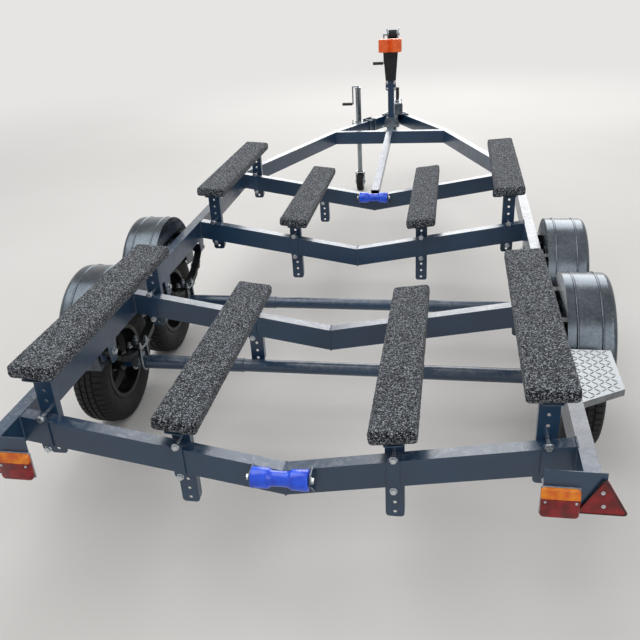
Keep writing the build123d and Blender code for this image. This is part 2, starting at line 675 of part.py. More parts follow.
def make_winch_post():
    half = MAST_WIDTH / 2
    mast_y = (POST_Y - half, POST_Y + half)
    mast = block((-half, half), mast_y, (FRAME_TOP + FOOT_SHEET, MAST_TOP))
    mast -= block((MAST_WALL - half, half - MAST_WALL), (mast_y[0] + MAST_WALL, mast_y[1] - MAST_WALL),
                  (FRAME_TOP + FOOT_SHEET, MAST_TOP))
    save("winch_post", mast)
    foot = block((-FOOT_WIDTH / 2, FOOT_WIDTH / 2), (POST_Y - FOOT_LENGTH / 2, POST_Y + FOOT_LENGTH / 2),
                 (FRAME_TOP, FRAME_TOP + FOOT_SHEET))
    base = FRAME_TOP + FOOT_SHEET
    outline = [(-FOOT_WIDTH / 2, base), (FOOT_WIDTH / 2, base), (GUSSET_TOP_WIDTH / 2, base + GUSSET_HEIGHT),
               (-GUSSET_TOP_WIDTH / 2, base + GUSSET_HEIGHT)]
    foot += front(outline, (mast_y[0] - FOOT_SHEET, mast_y[0]))
    foot += front(outline, (mast_y[1], mast_y[1] + FOOT_SHEET))
    leg_x = MAST_WIDTH / 2 + SEAT_GAP + FOOT_BOLT_RADIUS
    leg_z = (FRAME_BASE - SEAT_GAP - FOOT_BOLT_RADIUS, base + FOOT_BOLT_STUD)
    for y in (POST_Y - FOOT_BOLT_PLACE, POST_Y + FOOT_BOLT_PLACE):
        for x in (-leg_x, leg_x):
            foot += rod((x, y, leg_z[0]), (x, y, leg_z[1]), FOOT_BOLT_RADIUS)
            foot += Pos(x, y, leg_z[0]) * Sphere(FOOT_BOLT_RADIUS)
        foot += rod((-leg_x, y, leg_z[0]), (leg_x, y, leg_z[0]), FOOT_BOLT_RADIUS)
    save("post_foot", foot)
    low, high = [width / 2 for width in BRACKET_WIDTHS]
    shelf_front = POST_Y + SHELF_LENGTH
    outline = [(-low, BRACKET_BASE), (low, BRACKET_BASE), (high, MAST_TOP), (-high, MAST_TOP)]
    bracket = front(outline, (mast_y[0] - BRACKET_SHEET, mast_y[0]))
    bracket += block((-STOP_PLATE_WIDTH / 2, STOP_PLATE_WIDTH / 2), (mast_y[0] - BRACKET_SHEET, mast_y[0]),
                     (MAST_TOP, MAST_TOP + STOP_PLATE_HEIGHT))
    bracket += block((-high, high), (mast_y[0] - BRACKET_SHEET, shelf_front), (MAST_TOP, MAST_TOP + BRACKET_SHEET))
    for hand in (-1, 1):
        xs = sorted((hand * half, hand * (half + BRACKET_SHEET)))
        web = make_face(Polyline((mast_y[0], BRACKET_BASE), (mast_y[1], BRACKET_BASE), (shelf_front, MAST_TOP),
                                 (mast_y[0], MAST_TOP), close=True))
        bracket += side(web, xs)
    save("winch_bracket", bracket)
    fore = mast_y[0] - BRACKET_SHEET
    rear = fore - STOP_DEPTH
    side_x, lip = STOP_WIDTH / 2, STOP_NOTCH_WIDTH / 2
    pad = make_face(Polyline((-side_x, fore), (-side_x, rear), (-lip, rear), (0, rear + STOP_NOTCH), (lip, rear),
                             (side_x, rear), (side_x, fore), close=True))
    corners = pad.vertices().group_by(Axis.Y)[0].sort_by(Axis.X)
    pad = fillet([corners[0], corners[-1]], STOP_ROUND)
    stop = extrude(Plane.XY.offset(MAST_TOP) * pad, STOP_HEIGHT)
    rims = stop.edges().group_by(Axis.Z)
    save("bow_stop", chamfer(rims[0] + rims[-1], STOP_EDGE))


def make_winch():
    y, z = POST_Y + WINCH_FORWARD, MAST_TOP + WINCH_RISE
    half = WINCH_WIDTH / 2
    base = MAST_TOP + BRACKET_SHEET
    top = base + WINCH_HEIGHT
    floor = block((-half, half), (y - WINCH_LENGTH / 2, y + WINCH_LENGTH / 2), (base, base + WINCH_SHEET))
    outline = make_face(Polyline((y - WINCH_LENGTH / 2, base), (y + WINCH_LENGTH / 2, base),
                                 (y + WINCH_TOP_LENGTH / 2, top), (y - WINCH_TOP_LENGTH / 2, top), close=True))
    outline -= Pos(y, z) * Circle(WINCH_SHAFT + RUNNING_GAP)
    knee = top - WINCH_FLARE_HEIGHT
    wall = front([(half - WINCH_SHEET, base), (half, base), (half, knee), (half + WINCH_FLARE, top),
                  (half + WINCH_FLARE - WINCH_SHEET, top), (half - WINCH_SHEET, knee)],
                 (y - WINCH_LENGTH / 2, y + WINCH_LENGTH / 2))
    cheek = wall & side(outline, (half - WINCH_SHEET, half + WINCH_FLARE))
    save("winch_frame", floor + cheek + mirrored(cheek))
    room = half - WINCH_SHEET - DRUM_GAP
    drum = rod((-room, y, z), (room, y, z), DRUM_CORE)
    for end in (-room, room - DRUM_FLANGE):
        drum += rod((end, y, z), (end + DRUM_FLANGE, y, z), DRUM_RADIUS)
    save("winch_drum", drum - rod((-room, y, z), (room, y, z), WINCH_SHAFT))
    shaft = rod((CRANK_X, y, z), (half + WINCH_SHAFT_END, y, z), WINCH_SHAFT)
    arm = rod((CRANK_X, y, z), (CRANK_X, y, z - CRANK_LENGTH), CRANK_RADIUS)
    peg = rod((CRANK_X, y, z - CRANK_LENGTH), (CRANK_X - GRIP_LENGTH, y, z - CRANK_LENGTH), CRANK_RADIUS)
    elbows = Pos(CRANK_X, y, z) * Sphere(WINCH_SHAFT) + Pos(CRANK_X, y, z - CRANK_LENGTH) * Sphere(CRANK_RADIUS)
    save("winch_crank", shaft + arm + peg + elbows)
    start = CRANK_X - CRANK_RADIUS - GRIP_GAP
    grip = rod((start, y, z - CRANK_LENGTH), (start - GRIP_LENGTH, y, z - CRANK_LENGTH), GRIP_RADIUS)
    save("winch_grip", grip - rod((start, y, z - CRANK_LENGTH), (CRANK_X - GRIP_LENGTH, y, z - CRANK_LENGTH),
                                  CRANK_RADIUS))


def jockey_place():
    """Plan centre of the jockey tube, beside the left drawbar, and the drawbar's direction."""
    (x0, y0), (x1, y1) = [(-x, y) for x, y in OUTSIDE[2:4]]
    length = hypot(x1 - x0, y1 - y0)
    along = ((x1 - x0) / length, (y1 - y0) / length)
    away = (-along[1], along[0])
    point = (x0 + JOCKEY_ALONG * (x1 - x0), y0 + JOCKEY_ALONG * (y1 - y0))
    return point, along, away


def make_jockey():
    point, along, away = jockey_place()
    x, y = point[0] + JOCKEY_OFFSET * away[0], point[1] + JOCKEY_OFFSET * away[1]
    low, high = JOCKEY_TUBE_Z
    cap_base = high - JOCKEY_CAP_HEIGHT
    outer = rod((x, y, low), (x, y, high), JOCKEY_TUBE_RADIUS) + rod((x, y, cap_base), (x, y, high), JOCKEY_CAP_RADIUS)
    outer -= rod((x, y, low), (x, y, cap_base), JOCKEY_TUBE_RADIUS - JOCKEY_TUBE_WALL)
    save("jockey_clamp", Pos(*point, 0) * Rot(0, 0, degrees(atan2(along[1], along[0]))) * jockey_clamp())
    leg_top = low + JOCKEY_LEG_OVERLAP
    leg = rod((x, y, JOCKEY_LEG_BASE), (x, y, leg_top), JOCKEY_LEG_RADIUS)
    leg += rod((x, y, JOCKEY_LEG_BASE), (x, y, JOCKEY_LEG_BASE + COLLAR_HEIGHT), JOCKEY_COLLAR)
    save("jockey_leg", leg)
    lift = high + JOCKEY_SPINDLE
    reach = (x - JOCKEY_CRANK_REACH, y, lift)
    drop = (reach[0], y, lift - JOCKEY_CRANK_DROP)
    crank = rod((x, y, high), (x, y, lift), JOCKEY_SPINDLE) + rod((x, y, lift), reach, CRANK_RADIUS)
    crank += rod(reach, drop, CRANK_RADIUS) + rod(drop, (drop[0] - GRIP_LENGTH, y, drop[2]), CRANK_RADIUS)
    crank += Pos(*reach) * Sphere(CRANK_RADIUS) + Pos(*drop) * Sphere(CRANK_RADIUS)
    save("jockey_tube", outer + crank + Pos(x, y, lift) * Sphere(JOCKEY_SPINDLE))
    start = (drop[0] - CRANK_RADIUS - GRIP_GAP, y, drop[2])
    grip = rod(start, (start[0] - GRIP_LENGTH, y, drop[2]), GRIP_RADIUS)
    save("jockey_grip", grip - rod(start, (drop[0] - GRIP_LENGTH, y, drop[2]), CRANK_RADIUS))
    make_jockey_fork(x, y)


def jockey_clamp():
    """Clamp in the drawbar's own directions: X along it, Y away from it."""
    middle = (FRAME_TOP + FRAME_BASE) / 2
    zs = (middle - CLAMP_HEIGHT / 2, middle + CLAMP_HEIGHT / 2)
    clamp = block((-CLAMP_LENGTH / 2, CLAMP_LENGTH / 2), (0, CLAMP_PLATE),
                  (FRAME_BASE - CLAMP_PLATE_MARGIN, FRAME_TOP + CLAMP_PLATE_MARGIN))
    clamp += block((-CLAMP_ARM_WIDTH / 2, CLAMP_ARM_WIDTH / 2), (CLAMP_PLATE, JOCKEY_OFFSET), zs)
    clamp += Pos(0, JOCKEY_OFFSET, middle) * Cylinder(JOCKEY_TUBE_RADIUS + CLAMP_RING, CLAMP_HEIGHT)
    clamp -= Pos(0, JOCKEY_OFFSET, middle) * Cylinder(JOCKEY_TUBE_RADIUS, CLAMP_HEIGHT)
    # tightening screw with its cross handle
    start = JOCKEY_OFFSET + JOCKEY_TUBE_RADIUS + CLAMP_RING / 2
    end = start + CLAMP_SCREW_LENGTH
    clamp += rod((0, start, middle), (0, end, middle), CLAMP_BOLT_RADIUS)
    handle = end - CLAMP_HANDLE_MARGIN
    clamp += rod((0, handle, middle - CLAMP_HANDLE_HALF), (0, handle, middle + CLAMP_HANDLE_HALF),
                 CLAMP_HANDLE_RADIUS)
    # bent bolts round the drawbar
    back = -TUBE_WIDTH - SEAT_GAP - CLAMP_BOLT_RADIUS
    high = FRAME_TOP + SEAT_GAP + CLAMP_BOLT_RADIUS
    low = FRAME_BASE - SEAT_GAP - CLAMP_BOLT_RADIUS
    for x in (-CLAMP_BOLT_PLACE, CLAMP_BOLT_PLACE):
        clamp += rod((x, back, low), (x, back, high), CLAMP_BOLT_RADIUS)
        for z in (low, high):
            clamp += rod((x, back, z), (x, 2 * CLAMP_PLATE, z), CLAMP_BOLT_RADIUS)
            clamp += Pos(x, back, z) * Sphere(CLAMP_BOLT_RADIUS)
    return clamp


def make_jockey_fork(x, y):
    axle_z = JOCKEY_WHEEL_RADIUS
    gap = JOCKEY_WHEEL_WIDTH / 2 + FORK_GAP
    top = JOCKEY_LEG_BASE - SWIVEL_GAP
    bridge = block((x - gap - FORK_SHEET, x + gap + FORK_SHEET), (y - FORK_LENGTH / 2, y + FORK_LENGTH / 2),
                   (top - FORK_SHEET, top))
    fork = bridge
    half = FORK_LENGTH / 2
    cheek = make_face(Polyline((y - half, top), (y + half, top), (y + FORK_TIP, axle_z), (y - FORK_TIP, axle_z),
                               close=True)) + Pos(y, axle_z) * Circle(FORK_TIP)
    for low in (x - gap - FORK_SHEET, x + gap):
        fork += side(cheek, (low, low + FORK_SHEET))
    pin_end = gap + FORK_SHEET + JOCKEY_PIN_END
    fork += rod((x - pin_end, y, axle_z), (x + pin_end, y, axle_z), JOCKEY_PIN_RADIUS)
    save("jockey_fork", fork)
    half = JOCKEY_WHEEL_WIDTH / 2
    face = Pos(0, (JOCKEY_WHEEL_RADIUS + JOCKEY_PIN_RADIUS + RUNNING_GAP) / 2) * Rectangle(
        JOCKEY_WHEEL_WIDTH, JOCKEY_WHEEL_RADIUS - JOCKEY_PIN_RADIUS - RUNNING_GAP)
    rounds = [corner for corner in face.vertices() if corner.Y > half]
    save("jockey_wheel", Pos(x, y, axle_z) * revolve(fillet(rounds, JOCKEY_TREAD_ROUND), Axis.X, 360))


def make_coupling():
    top = HEAD_BASE + HEAD_HEIGHT
    wide, narrow = [width / 2 for width in HEAD_BODY_WIDTHS]
    outline = make_face(Polyline((-wide, HEAD_REAR), (wide, HEAD_REAR), (narrow, HEAD_Y), (-narrow, HEAD_Y),
                                 close=True)) + Pos(0, HEAD_Y) * Circle(HEAD_RADIUS)
    body = extrude(Plane.XY.offset(HEAD_BASE) * outline, HEAD_HEIGHT)
    body = fillet(body.edges().group_by(Axis.Z)[-1], HEAD_ROUND)
    body -= Pos(0, HEAD_Y, HEAD_BASE + SOCKET_DEPTH / 2) * Cylinder(SOCKET_RADIUS, SOCKET_DEPTH)
    rear = APEX + HEAD_PLATE_TIP - HEAD_PLATE_LENGTH
    body += plan([(0, APEX + HEAD_PLATE_TIP), (HEAD_PLATE_HALF, rear), (-HEAD_PLATE_HALF, rear)],
                 (FRAME_TOP, HEAD_BASE))
    save("coupling_head", body)
    # bent strip that lies on the head and turns up to its handle
    line = [(HEAD_REAR + along, top + up) for along, up in LEVER_PROFILE]
    upper = offset_path(line, LEVER_SHEET)
    strip = make_face(Polyline(*line, *reversed(upper), close=True))
    save("coupling_lever", side(strip, (-LEVER_WIDTH / 2, LEVER_WIDTH / 2)))


make_rails()
make_crossmembers()
make_front_crossmember()
make_spine()
make_tongue()
make_bunks()
make_posts()
make_running_gear()
make_wheels()
save("side_brackets", *make_mudguards(), *make_steps())
make_rollers()
make_lamp_boards()
make_winch_post()
make_winch()
make_jockey()
make_coupling()
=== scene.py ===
import bpy
import bmesh
from math import cos, hypot, pi, radians, sin, sqrt, tan
from mathutils import Matrix, Vector, noise


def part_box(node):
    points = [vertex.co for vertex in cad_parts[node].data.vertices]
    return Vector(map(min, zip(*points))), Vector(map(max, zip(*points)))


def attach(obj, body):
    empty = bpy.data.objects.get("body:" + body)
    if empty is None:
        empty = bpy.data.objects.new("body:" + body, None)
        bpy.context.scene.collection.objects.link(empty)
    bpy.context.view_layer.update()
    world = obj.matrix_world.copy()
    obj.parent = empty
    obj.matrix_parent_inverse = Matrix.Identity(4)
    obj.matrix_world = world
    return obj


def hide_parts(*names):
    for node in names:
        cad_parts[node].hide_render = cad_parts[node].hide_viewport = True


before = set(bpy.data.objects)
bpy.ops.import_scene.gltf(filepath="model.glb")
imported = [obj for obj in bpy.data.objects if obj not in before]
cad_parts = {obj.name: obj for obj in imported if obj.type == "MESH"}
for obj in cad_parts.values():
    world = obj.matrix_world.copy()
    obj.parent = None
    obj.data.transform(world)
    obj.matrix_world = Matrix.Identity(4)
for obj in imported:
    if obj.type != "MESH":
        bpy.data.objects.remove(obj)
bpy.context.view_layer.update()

# Two-axle boat trailer, in metres. +X is right, +Y is forward and +Z is up.
# Places are read from the frame, and what the frame doesn't hold is named here.
REAR_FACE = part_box("vee_crossmembers")[0].y
VEE_SPACING = 1.0
VEE_STATIONS = [REAR_FACE + VEE_SPACING * count for count in range(4)]
FRAME_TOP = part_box("main_rails")[1].z
TUBE_HEIGHT = FRAME_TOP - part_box("main_rails")[0].z
TUBE_WIDTH = 0.050
RAIL_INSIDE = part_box("main_rails")[1].x - TUBE_WIDTH
VEE_DEPTH = FRAME_TOP - TUBE_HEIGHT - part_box("vee_crossmembers")[0].z
SPINE_HEIGHT = 0.050

# Rows of bunks: distance from the middle, height of the underside, and tilt in degrees
BUNK_ROWS = {"outer": (0.830, 0.807, 4.0), "inner": (0.362, 0.627, 7.0)}
BUNK_WIDTH, BUNK_THICK, BUNK_LENGTH = 0.160, 0.050, 1.128
BUNK_ROUND = 0.014
BUNK_REARS = [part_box("bunks_outer")[0].y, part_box("bunks_outer")[1].y - BUNK_LENGTH]
CARPET_GRID = 0.0055
CARPET_LUMP, CARPET_WAVE, CARPET_TUCK = 0.0016, 0.009, 0.014
SHARP_ANGLE = radians(38)

# Posts under the bunks, and the straps that clamp them to the crossmembers
POST_WIDTH, POST_DEPTH, POST_LENGTH = 0.064, 0.030, 0.335
POST_WALL, POST_ROUND = 0.004, 0.014
HOLE_RADIUS, HOLE_PITCH = 0.0065, 0.040
SADDLE_LENGTH, SADDLE_THICK = 0.090, 0.004
CLAMP_WIDTH, CLAMP_THICK, CLAMP_MARGIN = 0.040, 0.006, 0.022
POST_BOLT_RISE = 0.012

# Wheels: places of the axles, tyre and rim, the tyre's grooves, and the cuts across its crown
AXLES = [(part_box(node)[0].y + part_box(node)[1].y) / 2 for node in ("rim_rear_right", "rim_front_right")]
TYRE_RADIUS = (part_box("tyre_rear_right")[1].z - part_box("tyre_rear_right")[0].z) / 2
TYRE_HALF = (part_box("tyre_rear_right")[1].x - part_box("tyre_rear_right")[0].x) / 2
RIM_RADIUS = 0.165
FLANGE_HEIGHT = 0.014
BEAD_HALF = 0.060
GROOVE_PLACE, GROOVE_DEPTH = 0.030, 0.007
TREAD_PITCHES = 58
TREAD_CUT = 0.006

# Running gear, as the solids have it, and the sleeves over the axles
RAIL_CENTRE = RAIL_INSIDE + TUBE_WIDTH / 2
AXLE_RADIUS = 0.030
SLEEVE_RADIUS, SLEEVE_INSIDE, SLEEVE_OUTSIDE = 0.0328, 0.420, 0.900
LEAF_HALF = 0.020
SPRING_REACH = 0.285
SEAT_GAP = 0.0003
SPRING_BOLT = 0.006
SPRING_STUD = 0.024
HANGER_DROP = 0.048
PIN_END = 0.009

# Wheel bolts: how many, radius of their circle, and the rim's outer and inner faces from the tyre's middle
WHEEL_BOLTS, BOLT_CIRCLE, RIM_OUTSIDE, RIM_INSIDE = 5, 0.060, 0.020, 0.014
ROLLER_BORE, ROLLER_END, ROLLER_WAIST = 0.0085, 0.036, 0.026

# Width across the flats of bolt heads and nuts, by the bolt's size, and of the screws' heads
M8, M10, M12, M14 = 0.013, 0.017, 0.019, 0.022
LAMP_SCREW, REFLECTOR_SCREW = 0.006, 0.009
SIDES = (("right", 1), ("left", -1))
WHEELS = [(row, hand, side) for row in ("rear", "front") for hand, side in SIDES]

# Winch post, coupling and jockey wheel
POST_Y = (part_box("winch_post")[0].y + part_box("winch_post")[1].y) / 2
MAST_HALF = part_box("winch_post")[1].x
BRACKET_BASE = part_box("winch_bracket")[0].z
FOOT_BOLT, FOOT_BOLT_PLACE = 0.005, 0.050
FOOT_THICK, COUPLING_THICK, SHELF_THICK = 0.006, 0.011, 0.004
DRUM = (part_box("winch_drum")[0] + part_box("winch_drum")[1]) / 2

# Lamps and reflectors, on the right; the left ones mirror them
LAMP_INSIDE, LAMP_OUTSIDE = 0.794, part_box("lamp_amber")[1].x
LAMP_LOW, LAMP_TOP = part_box("lamp_red")[0].z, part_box("lamp_amber")[1].z
LAMP_SPLIT, LAMP_ROUND = 0.597, 0.012
LENS_DEPTH, LENS_SLOPE, LENS_LEDGE = 0.018, 0.009, 0.0012
LAMP_SCREW_INSET, LAMP_SCREW_DROP = 0.012, 0.009
LENS_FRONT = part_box("lamp_bases")[0].y
REFLECTOR_SIDE, REFLECTOR_RIGHT = 0.146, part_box("reflectors")[1].x
REFLECTOR_REAR, REFLECTOR_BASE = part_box("reflectors")[0].y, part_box("reflectors")[0].z

# Steps: outline of the right one's top
STEP_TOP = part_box("steps")[1].z
STEP_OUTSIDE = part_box("steps")[1].x
STEP_INSIDE = STEP_OUTSIDE - 0.150
STEP_REAR, STEP_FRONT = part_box("steps")[0].y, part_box("steps")[1].y
STEP_SKEW = 0.093
BAR_SIZES = {"Length": 0.027, "Width": 0.0065, "Height": 0.0036}
BAR_PITCH, BAR_EDGE, BAR_MARGIN = 0.0225, 0.008, 0.012

# Camera: place, heading and lens in the frame of the trailer
CAMERA_PLACE = (0.518, REAR_FACE - 1.875, 2.0155)
CAMERA_YAW, CAMERA_PITCH, CAMERA_ROLL = 11.04, -26.62, -3.40
FOCAL_PIXELS, IMAGE_SIDE = 731.7, 640.0
SENSOR = 36.0


def linear(code):
    """An sRGB hex colour as linear values."""
    values = [int(code[start:start + 2], 16) / 255 for start in (1, 3, 5)]
    return [v / 12.92 if v <= 0.04045 else ((v + 0.055) / 1.055) ** 2.4 for v in values] + [1.0]


def add(tree, kind, inputs=None, stops=(), **settings):
    """Adds one node, with its settings, the stops of its ramp, and its inputs as values, sockets or nodes."""
    made = tree.nodes.new(kind)
    for name, value in settings.items():
        setattr(made, name, value)
    for key, value in (inputs or {}).items():
        source = value.outputs[0] if isinstance(value, bpy.types.Node) else value
        if isinstance(source, bpy.types.NodeSocket):
            tree.links.new(source, made.inputs[key])
        else:
            made.inputs[key].default_value = source
    if stops:
        steps = made.color_ramp.elements
        steps.remove(steps[1])
        steps[0].position, steps[0].color = stops[0][0], linear(stops[0][1])
        for position, colour in stops[1:]:
            steps.new(position).color = linear(colour)
    return made


def start_material(name):
    """An empty material, its tree and the object's own coordinates."""
    made = bpy.data.materials.new(name)
    made.use_nodes = True
    made.node_tree.nodes.clear()
    return made, made.node_tree, add(made.node_tree, "ShaderNodeTexCoord").outputs["Object"]


def alkyd_enamel():
    """Blue-grey alkyd enamel sprayed on steel: glossy, with a faint orange peel, soft shade changes, and dust
    rubbed into smears on what faces up."""
    made, tree, place = start_material("alkyd_enamel")
    cloudy = add(tree, "ShaderNodeTexNoise", {"Vector": place, "Scale": 1 / 0.35, "Detail": 4.0})
    paint = add(tree, "ShaderNodeValToRGB", {"Fac": cloudy}, [(0.3, "#132F49"), (0.7, "#1C3E5B")])
    facing = add(tree, "ShaderNodeTexCoord").outputs["Normal"]
    upward = add(tree, "ShaderNodeSeparateXYZ", {"Vector": facing}).outputs["Z"]
    smears = add(tree, "ShaderNodeTexNoise", {"Vector": place, "Scale": 1 / 0.05, "Detail": 8.0, "Roughness": 0.65,
                                              "Distortion": 1.2})
    thick = add(tree, "ShaderNodeMapRange", {"Value": smears, "From Min": 0.48, "From Max": 0.72, "To Max": 0.4})
    dusty = add(tree, "ShaderNodeMath", {0: upward, 1: thick}, operation="MULTIPLY", use_clamp=True)
    colour = add(tree, "ShaderNodeMix", {0: dusty, 6: paint, 7: linear("#A3A7AA")}, data_type="RGBA").outputs[2]
    peel = add(tree, "ShaderNodeTexNoise", {"Vector": place, "Scale": 1 / 0.012, "Detail": 2.0})
    waves = add(tree, "ShaderNodeBump", {"Height": peel, "Strength": 0.2, "Distance": 0.0004})
    scuffs = add(tree, "ShaderNodeTexNoise", {"Vector": place, "Scale": 1 / 0.06, "Detail": 5.0})
    rough = add(tree, "ShaderNodeMapRange", {"Value": scuffs, "From Min": 0.3, "From Max": 0.7,
                                             "To Min": 0.3, "To Max": 0.42})
    shader = add(tree, "ShaderNodeBsdfPrincipled", {
        "Base Color": colour, "Roughness": rough, "Normal": waves, "Coat Weight": 0.6,
        "Coat Roughness": 0.2})
    add(tree, "ShaderNodeOutputMaterial", {"Surface": shader})
    return made


def shaded(made, shade, stops, grain, strength, depth, rough, looks):
    """A material whose colour follows a shade and whose relief follows a grain. Rough is one value, or two between
    which it follows the shade."""
    tree = made.node_tree
    colour = add(tree, "ShaderNodeValToRGB", {"Fac": shade}, stops)
    relief = add(tree, "ShaderNodeBump", {"Height": grain, "Strength": strength, "Distance": depth})
    if isinstance(rough, tuple):
        rough = add(tree, "ShaderNodeMapRange", {"Value": shade, "From Min": 0.3, "From Max": 0.7,
                                                 "To Min": rough[0], "To Max": rough[1]})
    skin = add(tree, "ShaderNodeBsdfPrincipled", {
        "Base Color": colour, "Roughness": rough, "Normal": relief, **looks})
    add(tree, "ShaderNodeOutputMaterial", {"Surface": skin})
    return made


def grained(name, stops, coarse, fine, strength, depth, rough, looks):
    """A material with coarse noise for its shade and fine noise for its grain, or the coarse one where fine is
    None."""
    made, tree, place = start_material(name)
    shade = add(tree, "ShaderNodeTexNoise", {"Vector": place, **coarse})
    grain = add(tree, "ShaderNodeTexNoise", {"Vector": place, **fine}) if fine else shade
    return shaded(made, shade, stops, grain, strength, depth, rough, looks)


def black_enamel():
    """Sprayed black enamel on pressed steel: deep and smooth, dusty in places."""
    return grained("black_enamel", [(0.35, "#0A0B0D"), (0.8, "#1A1C1F")], {"Scale": 1 / 0.09, "Detail": 6.0},
                   {"Scale": 1 / 0.004}, 0.15, 0.0002, (0.3, 0.5),
                   {"Specular IOR Level": 0.35, "Coat Weight": 0.12, "Coat Roughness": 0.2})


def hot_dip_galvanising(name, dark, light):
    """Zinc from the bath: satin grey, with soft clouds and frost-like grains that differ only a little."""
    made, tree, place = start_material(name)
    grains = add(tree, "ShaderNodeTexVoronoi", {"Vector": place, "Scale": 1 / 0.008, "Randomness": 1.0})
    shade = add(tree, "ShaderNodeSeparateColor", {"Color": grains.outputs["Color"]})
    cloudy = add(tree, "ShaderNodeTexNoise", {"Vector": place, "Scale": 1 / 0.12, "Detail": 4.0})
    mixed = add(tree, "ShaderNodeMix", {0: 0.18, 2: cloudy, 3: shade}, data_type="FLOAT")
    return shaded(made, mixed, [(0.3, dark), (0.7, light)], cloudy, 0.1, 0.0006, (0.2, 0.3), {"Metallic": 1.0})


def zinc_plating():
    """Electroplated zinc on bolts and nuts: bright, with a faint cool stain."""
    return grained("zinc_plating", [(0.3, "#B4BAC0"), (0.7, "#DDE1E4")], {"Scale": 1 / 0.008, "Detail": 4.0},
                   None, 0.15, 0.0003, (0.22, 0.36), {"Metallic": 1.0})


def needle_punch_carpet():
    """Needle-punched marine carpet: black, grey and white fibres in bent tufts about 3 mm across, drawn a
    little coarser than real so that they show."""
    made, tree, place = start_material("needle_punch_carpet")
    bend = add(tree, "ShaderNodeTexNoise", {"Vector": place, "Scale": 1 / 0.004, "Detail": 2.0})
    shift = add(tree, "ShaderNodeVectorMath", {0: bend.outputs["Color"], 1: (0.004, 0.004, 0.004)},
                operation="MULTIPLY")
    bent = add(tree, "ShaderNodeVectorMath", {0: place, 1: shift}, operation="ADD")
    tufts = add(tree, "ShaderNodeTexVoronoi", {"Vector": bent, "Scale": 1 / 0.0032, "Randomness": 1.0})
    pick = add(tree, "ShaderNodeSeparateColor", {"Color": tufts.outputs["Color"]})
    fibres = add(tree, "ShaderNodeTexNoise", {"Vector": bent, "Scale": 1 / 0.0018, "Detail": 4.0,
                                              "Roughness": 0.7})
    mixed = add(tree, "ShaderNodeMix", {0: 0.35, 2: pick, 3: fibres}, data_type="FLOAT")
    stops = [(0.22, "#090A0C"), (0.45, "#1A1C20"), (0.58, "#2F3338"), (0.7, "#6C7177"), (0.82, "#AEB2B8")]
    return shaded(made, mixed, stops, fibres, 0.6, 0.002, 0.95,
                  {"Specular IOR Level": 0.12, "Sheen Weight": 0.1, "Sheen Roughness": 0.6})


def tyre_rubber():
    """Vulcanised carbon-black rubber: charcoal and dull, with road dust on it."""
    return grained("tyre_rubber", [(0.35, "#0F1011"), (0.75, "#202022")],
                   {"Scale": 1 / 0.05, "Detail": 6.0, "Roughness": 0.6}, {"Scale": 1 / 0.0025}, 0.3, 0.0003,
                   (0.5, 0.75), {"Specular IOR Level": 0.3})


def cast_polyurethane(name, dark, light, roughness):
    """Cast polyurethane: saturated, waxy and slightly translucent."""
    return grained(name, [(0.3, dark), (0.7, light)], {"Scale": 1 / 0.03}, {"Scale": 1 / 0.004}, 0.12, 0.0004,
                   roughness, {"Subsurface Weight": 0.08, "Subsurface Radius": (0.01, 0.004, 0.002),
                               "Subsurface Scale": 0.01, "Coat Weight": 0.3, "Coat Roughness": 0.15})


def moulded_abs():
    """Black moulded ABS with a fine spark-eroded texture."""
    return grained("moulded_abs", [(0.3, "#101113"), (0.7, "#1C1E21")], {"Scale": 1 / 0.04}, {"Scale": 1 / 0.0015},
                   0.3, 0.0002, 0.42, {})


def ribbed_acrylic(name, dark, light):
    """Moulded acrylic lens: glossy outside, with upright prisms 4 mm apart behind the face."""
    made, tree, place = start_material(name)
    across = add(tree, "ShaderNodeSeparateXYZ", {"Vector": place})
    phase = add(tree, "ShaderNodeMath", {0: across, 1: 2 * pi / 0.004}, operation="MULTIPLY")
    prism = add(tree, "ShaderNodeMath", {0: phase}, operation="SINE")
    depth = add(tree, "ShaderNodeTexNoise", {"Vector": place, "Scale": 1 / 0.035, "Detail": 2.0})
    return shaded(made, depth, [(0.38, dark), (0.62, light)], prism, 0.25, 0.0008, 0.12,
                  {"Specular IOR Level": 0.35, "Coat Weight": 0.3, "Coat Roughness": 0.03})


def clear_acrylic():
    """Clear moulded acrylic, painted a pale milky grey all over; the pale grey is partly painted glow of the light
    that enters its edge.
    """
    return grained("clear_acrylic", [(0.3, "#9AA2AA"), (0.7, "#C6CDD3")], {"Scale": 1 / 0.01}, {"Scale": 1 / 0.003},
                   0.2, 0.0004, 0.1, {"Transmission Weight": 0.3, "IOR": 1.49})


def rolled_aluminium():
    """Rolled aluminium tread plate: bright bars on a satin sheet, scuffed by shoes."""
    return grained("rolled_aluminium", [(0.3, "#686C6F"), (0.7, "#8C9093")],
                   {"Scale": 1 / 0.02, "Detail": 8.0, "Roughness": 0.7}, None, 0.1, 0.0004, (0.24, 0.42),
                   {"Metallic": 1.0})


def woven_strap():
    """Black polyester webbing with a twill rib, drawn nearly 4 mm wide so that it shows."""
    made, tree, place = start_material("woven_strap")
    rib = add(tree, "ShaderNodeTexWave", {"Vector": place, "Scale": 1 / 0.012, "Distortion": 1.0}).outputs["Fac"]
    return shaded(made, rib, [(0.0, "#0C0D0F"), (1.0, "#24262A")], rib, 0.5, 0.0006, 0.8, {})


def seen_directly(tree):
    """One for rays from the camera and for those that metal and glass send on, and zero for the rest."""
    path = add(tree, "ShaderNodeLightPath")
    seen = add(tree, "ShaderNodeMath", {0: path.outputs["Is Camera Ray"], 1: path.outputs["Is Glossy Ray"]},
               operation="MAXIMUM")
    return add(tree, "ShaderNodeMath", {0: seen, 1: path.outputs["Is Transmission Ray"]}, operation="MAXIMUM")


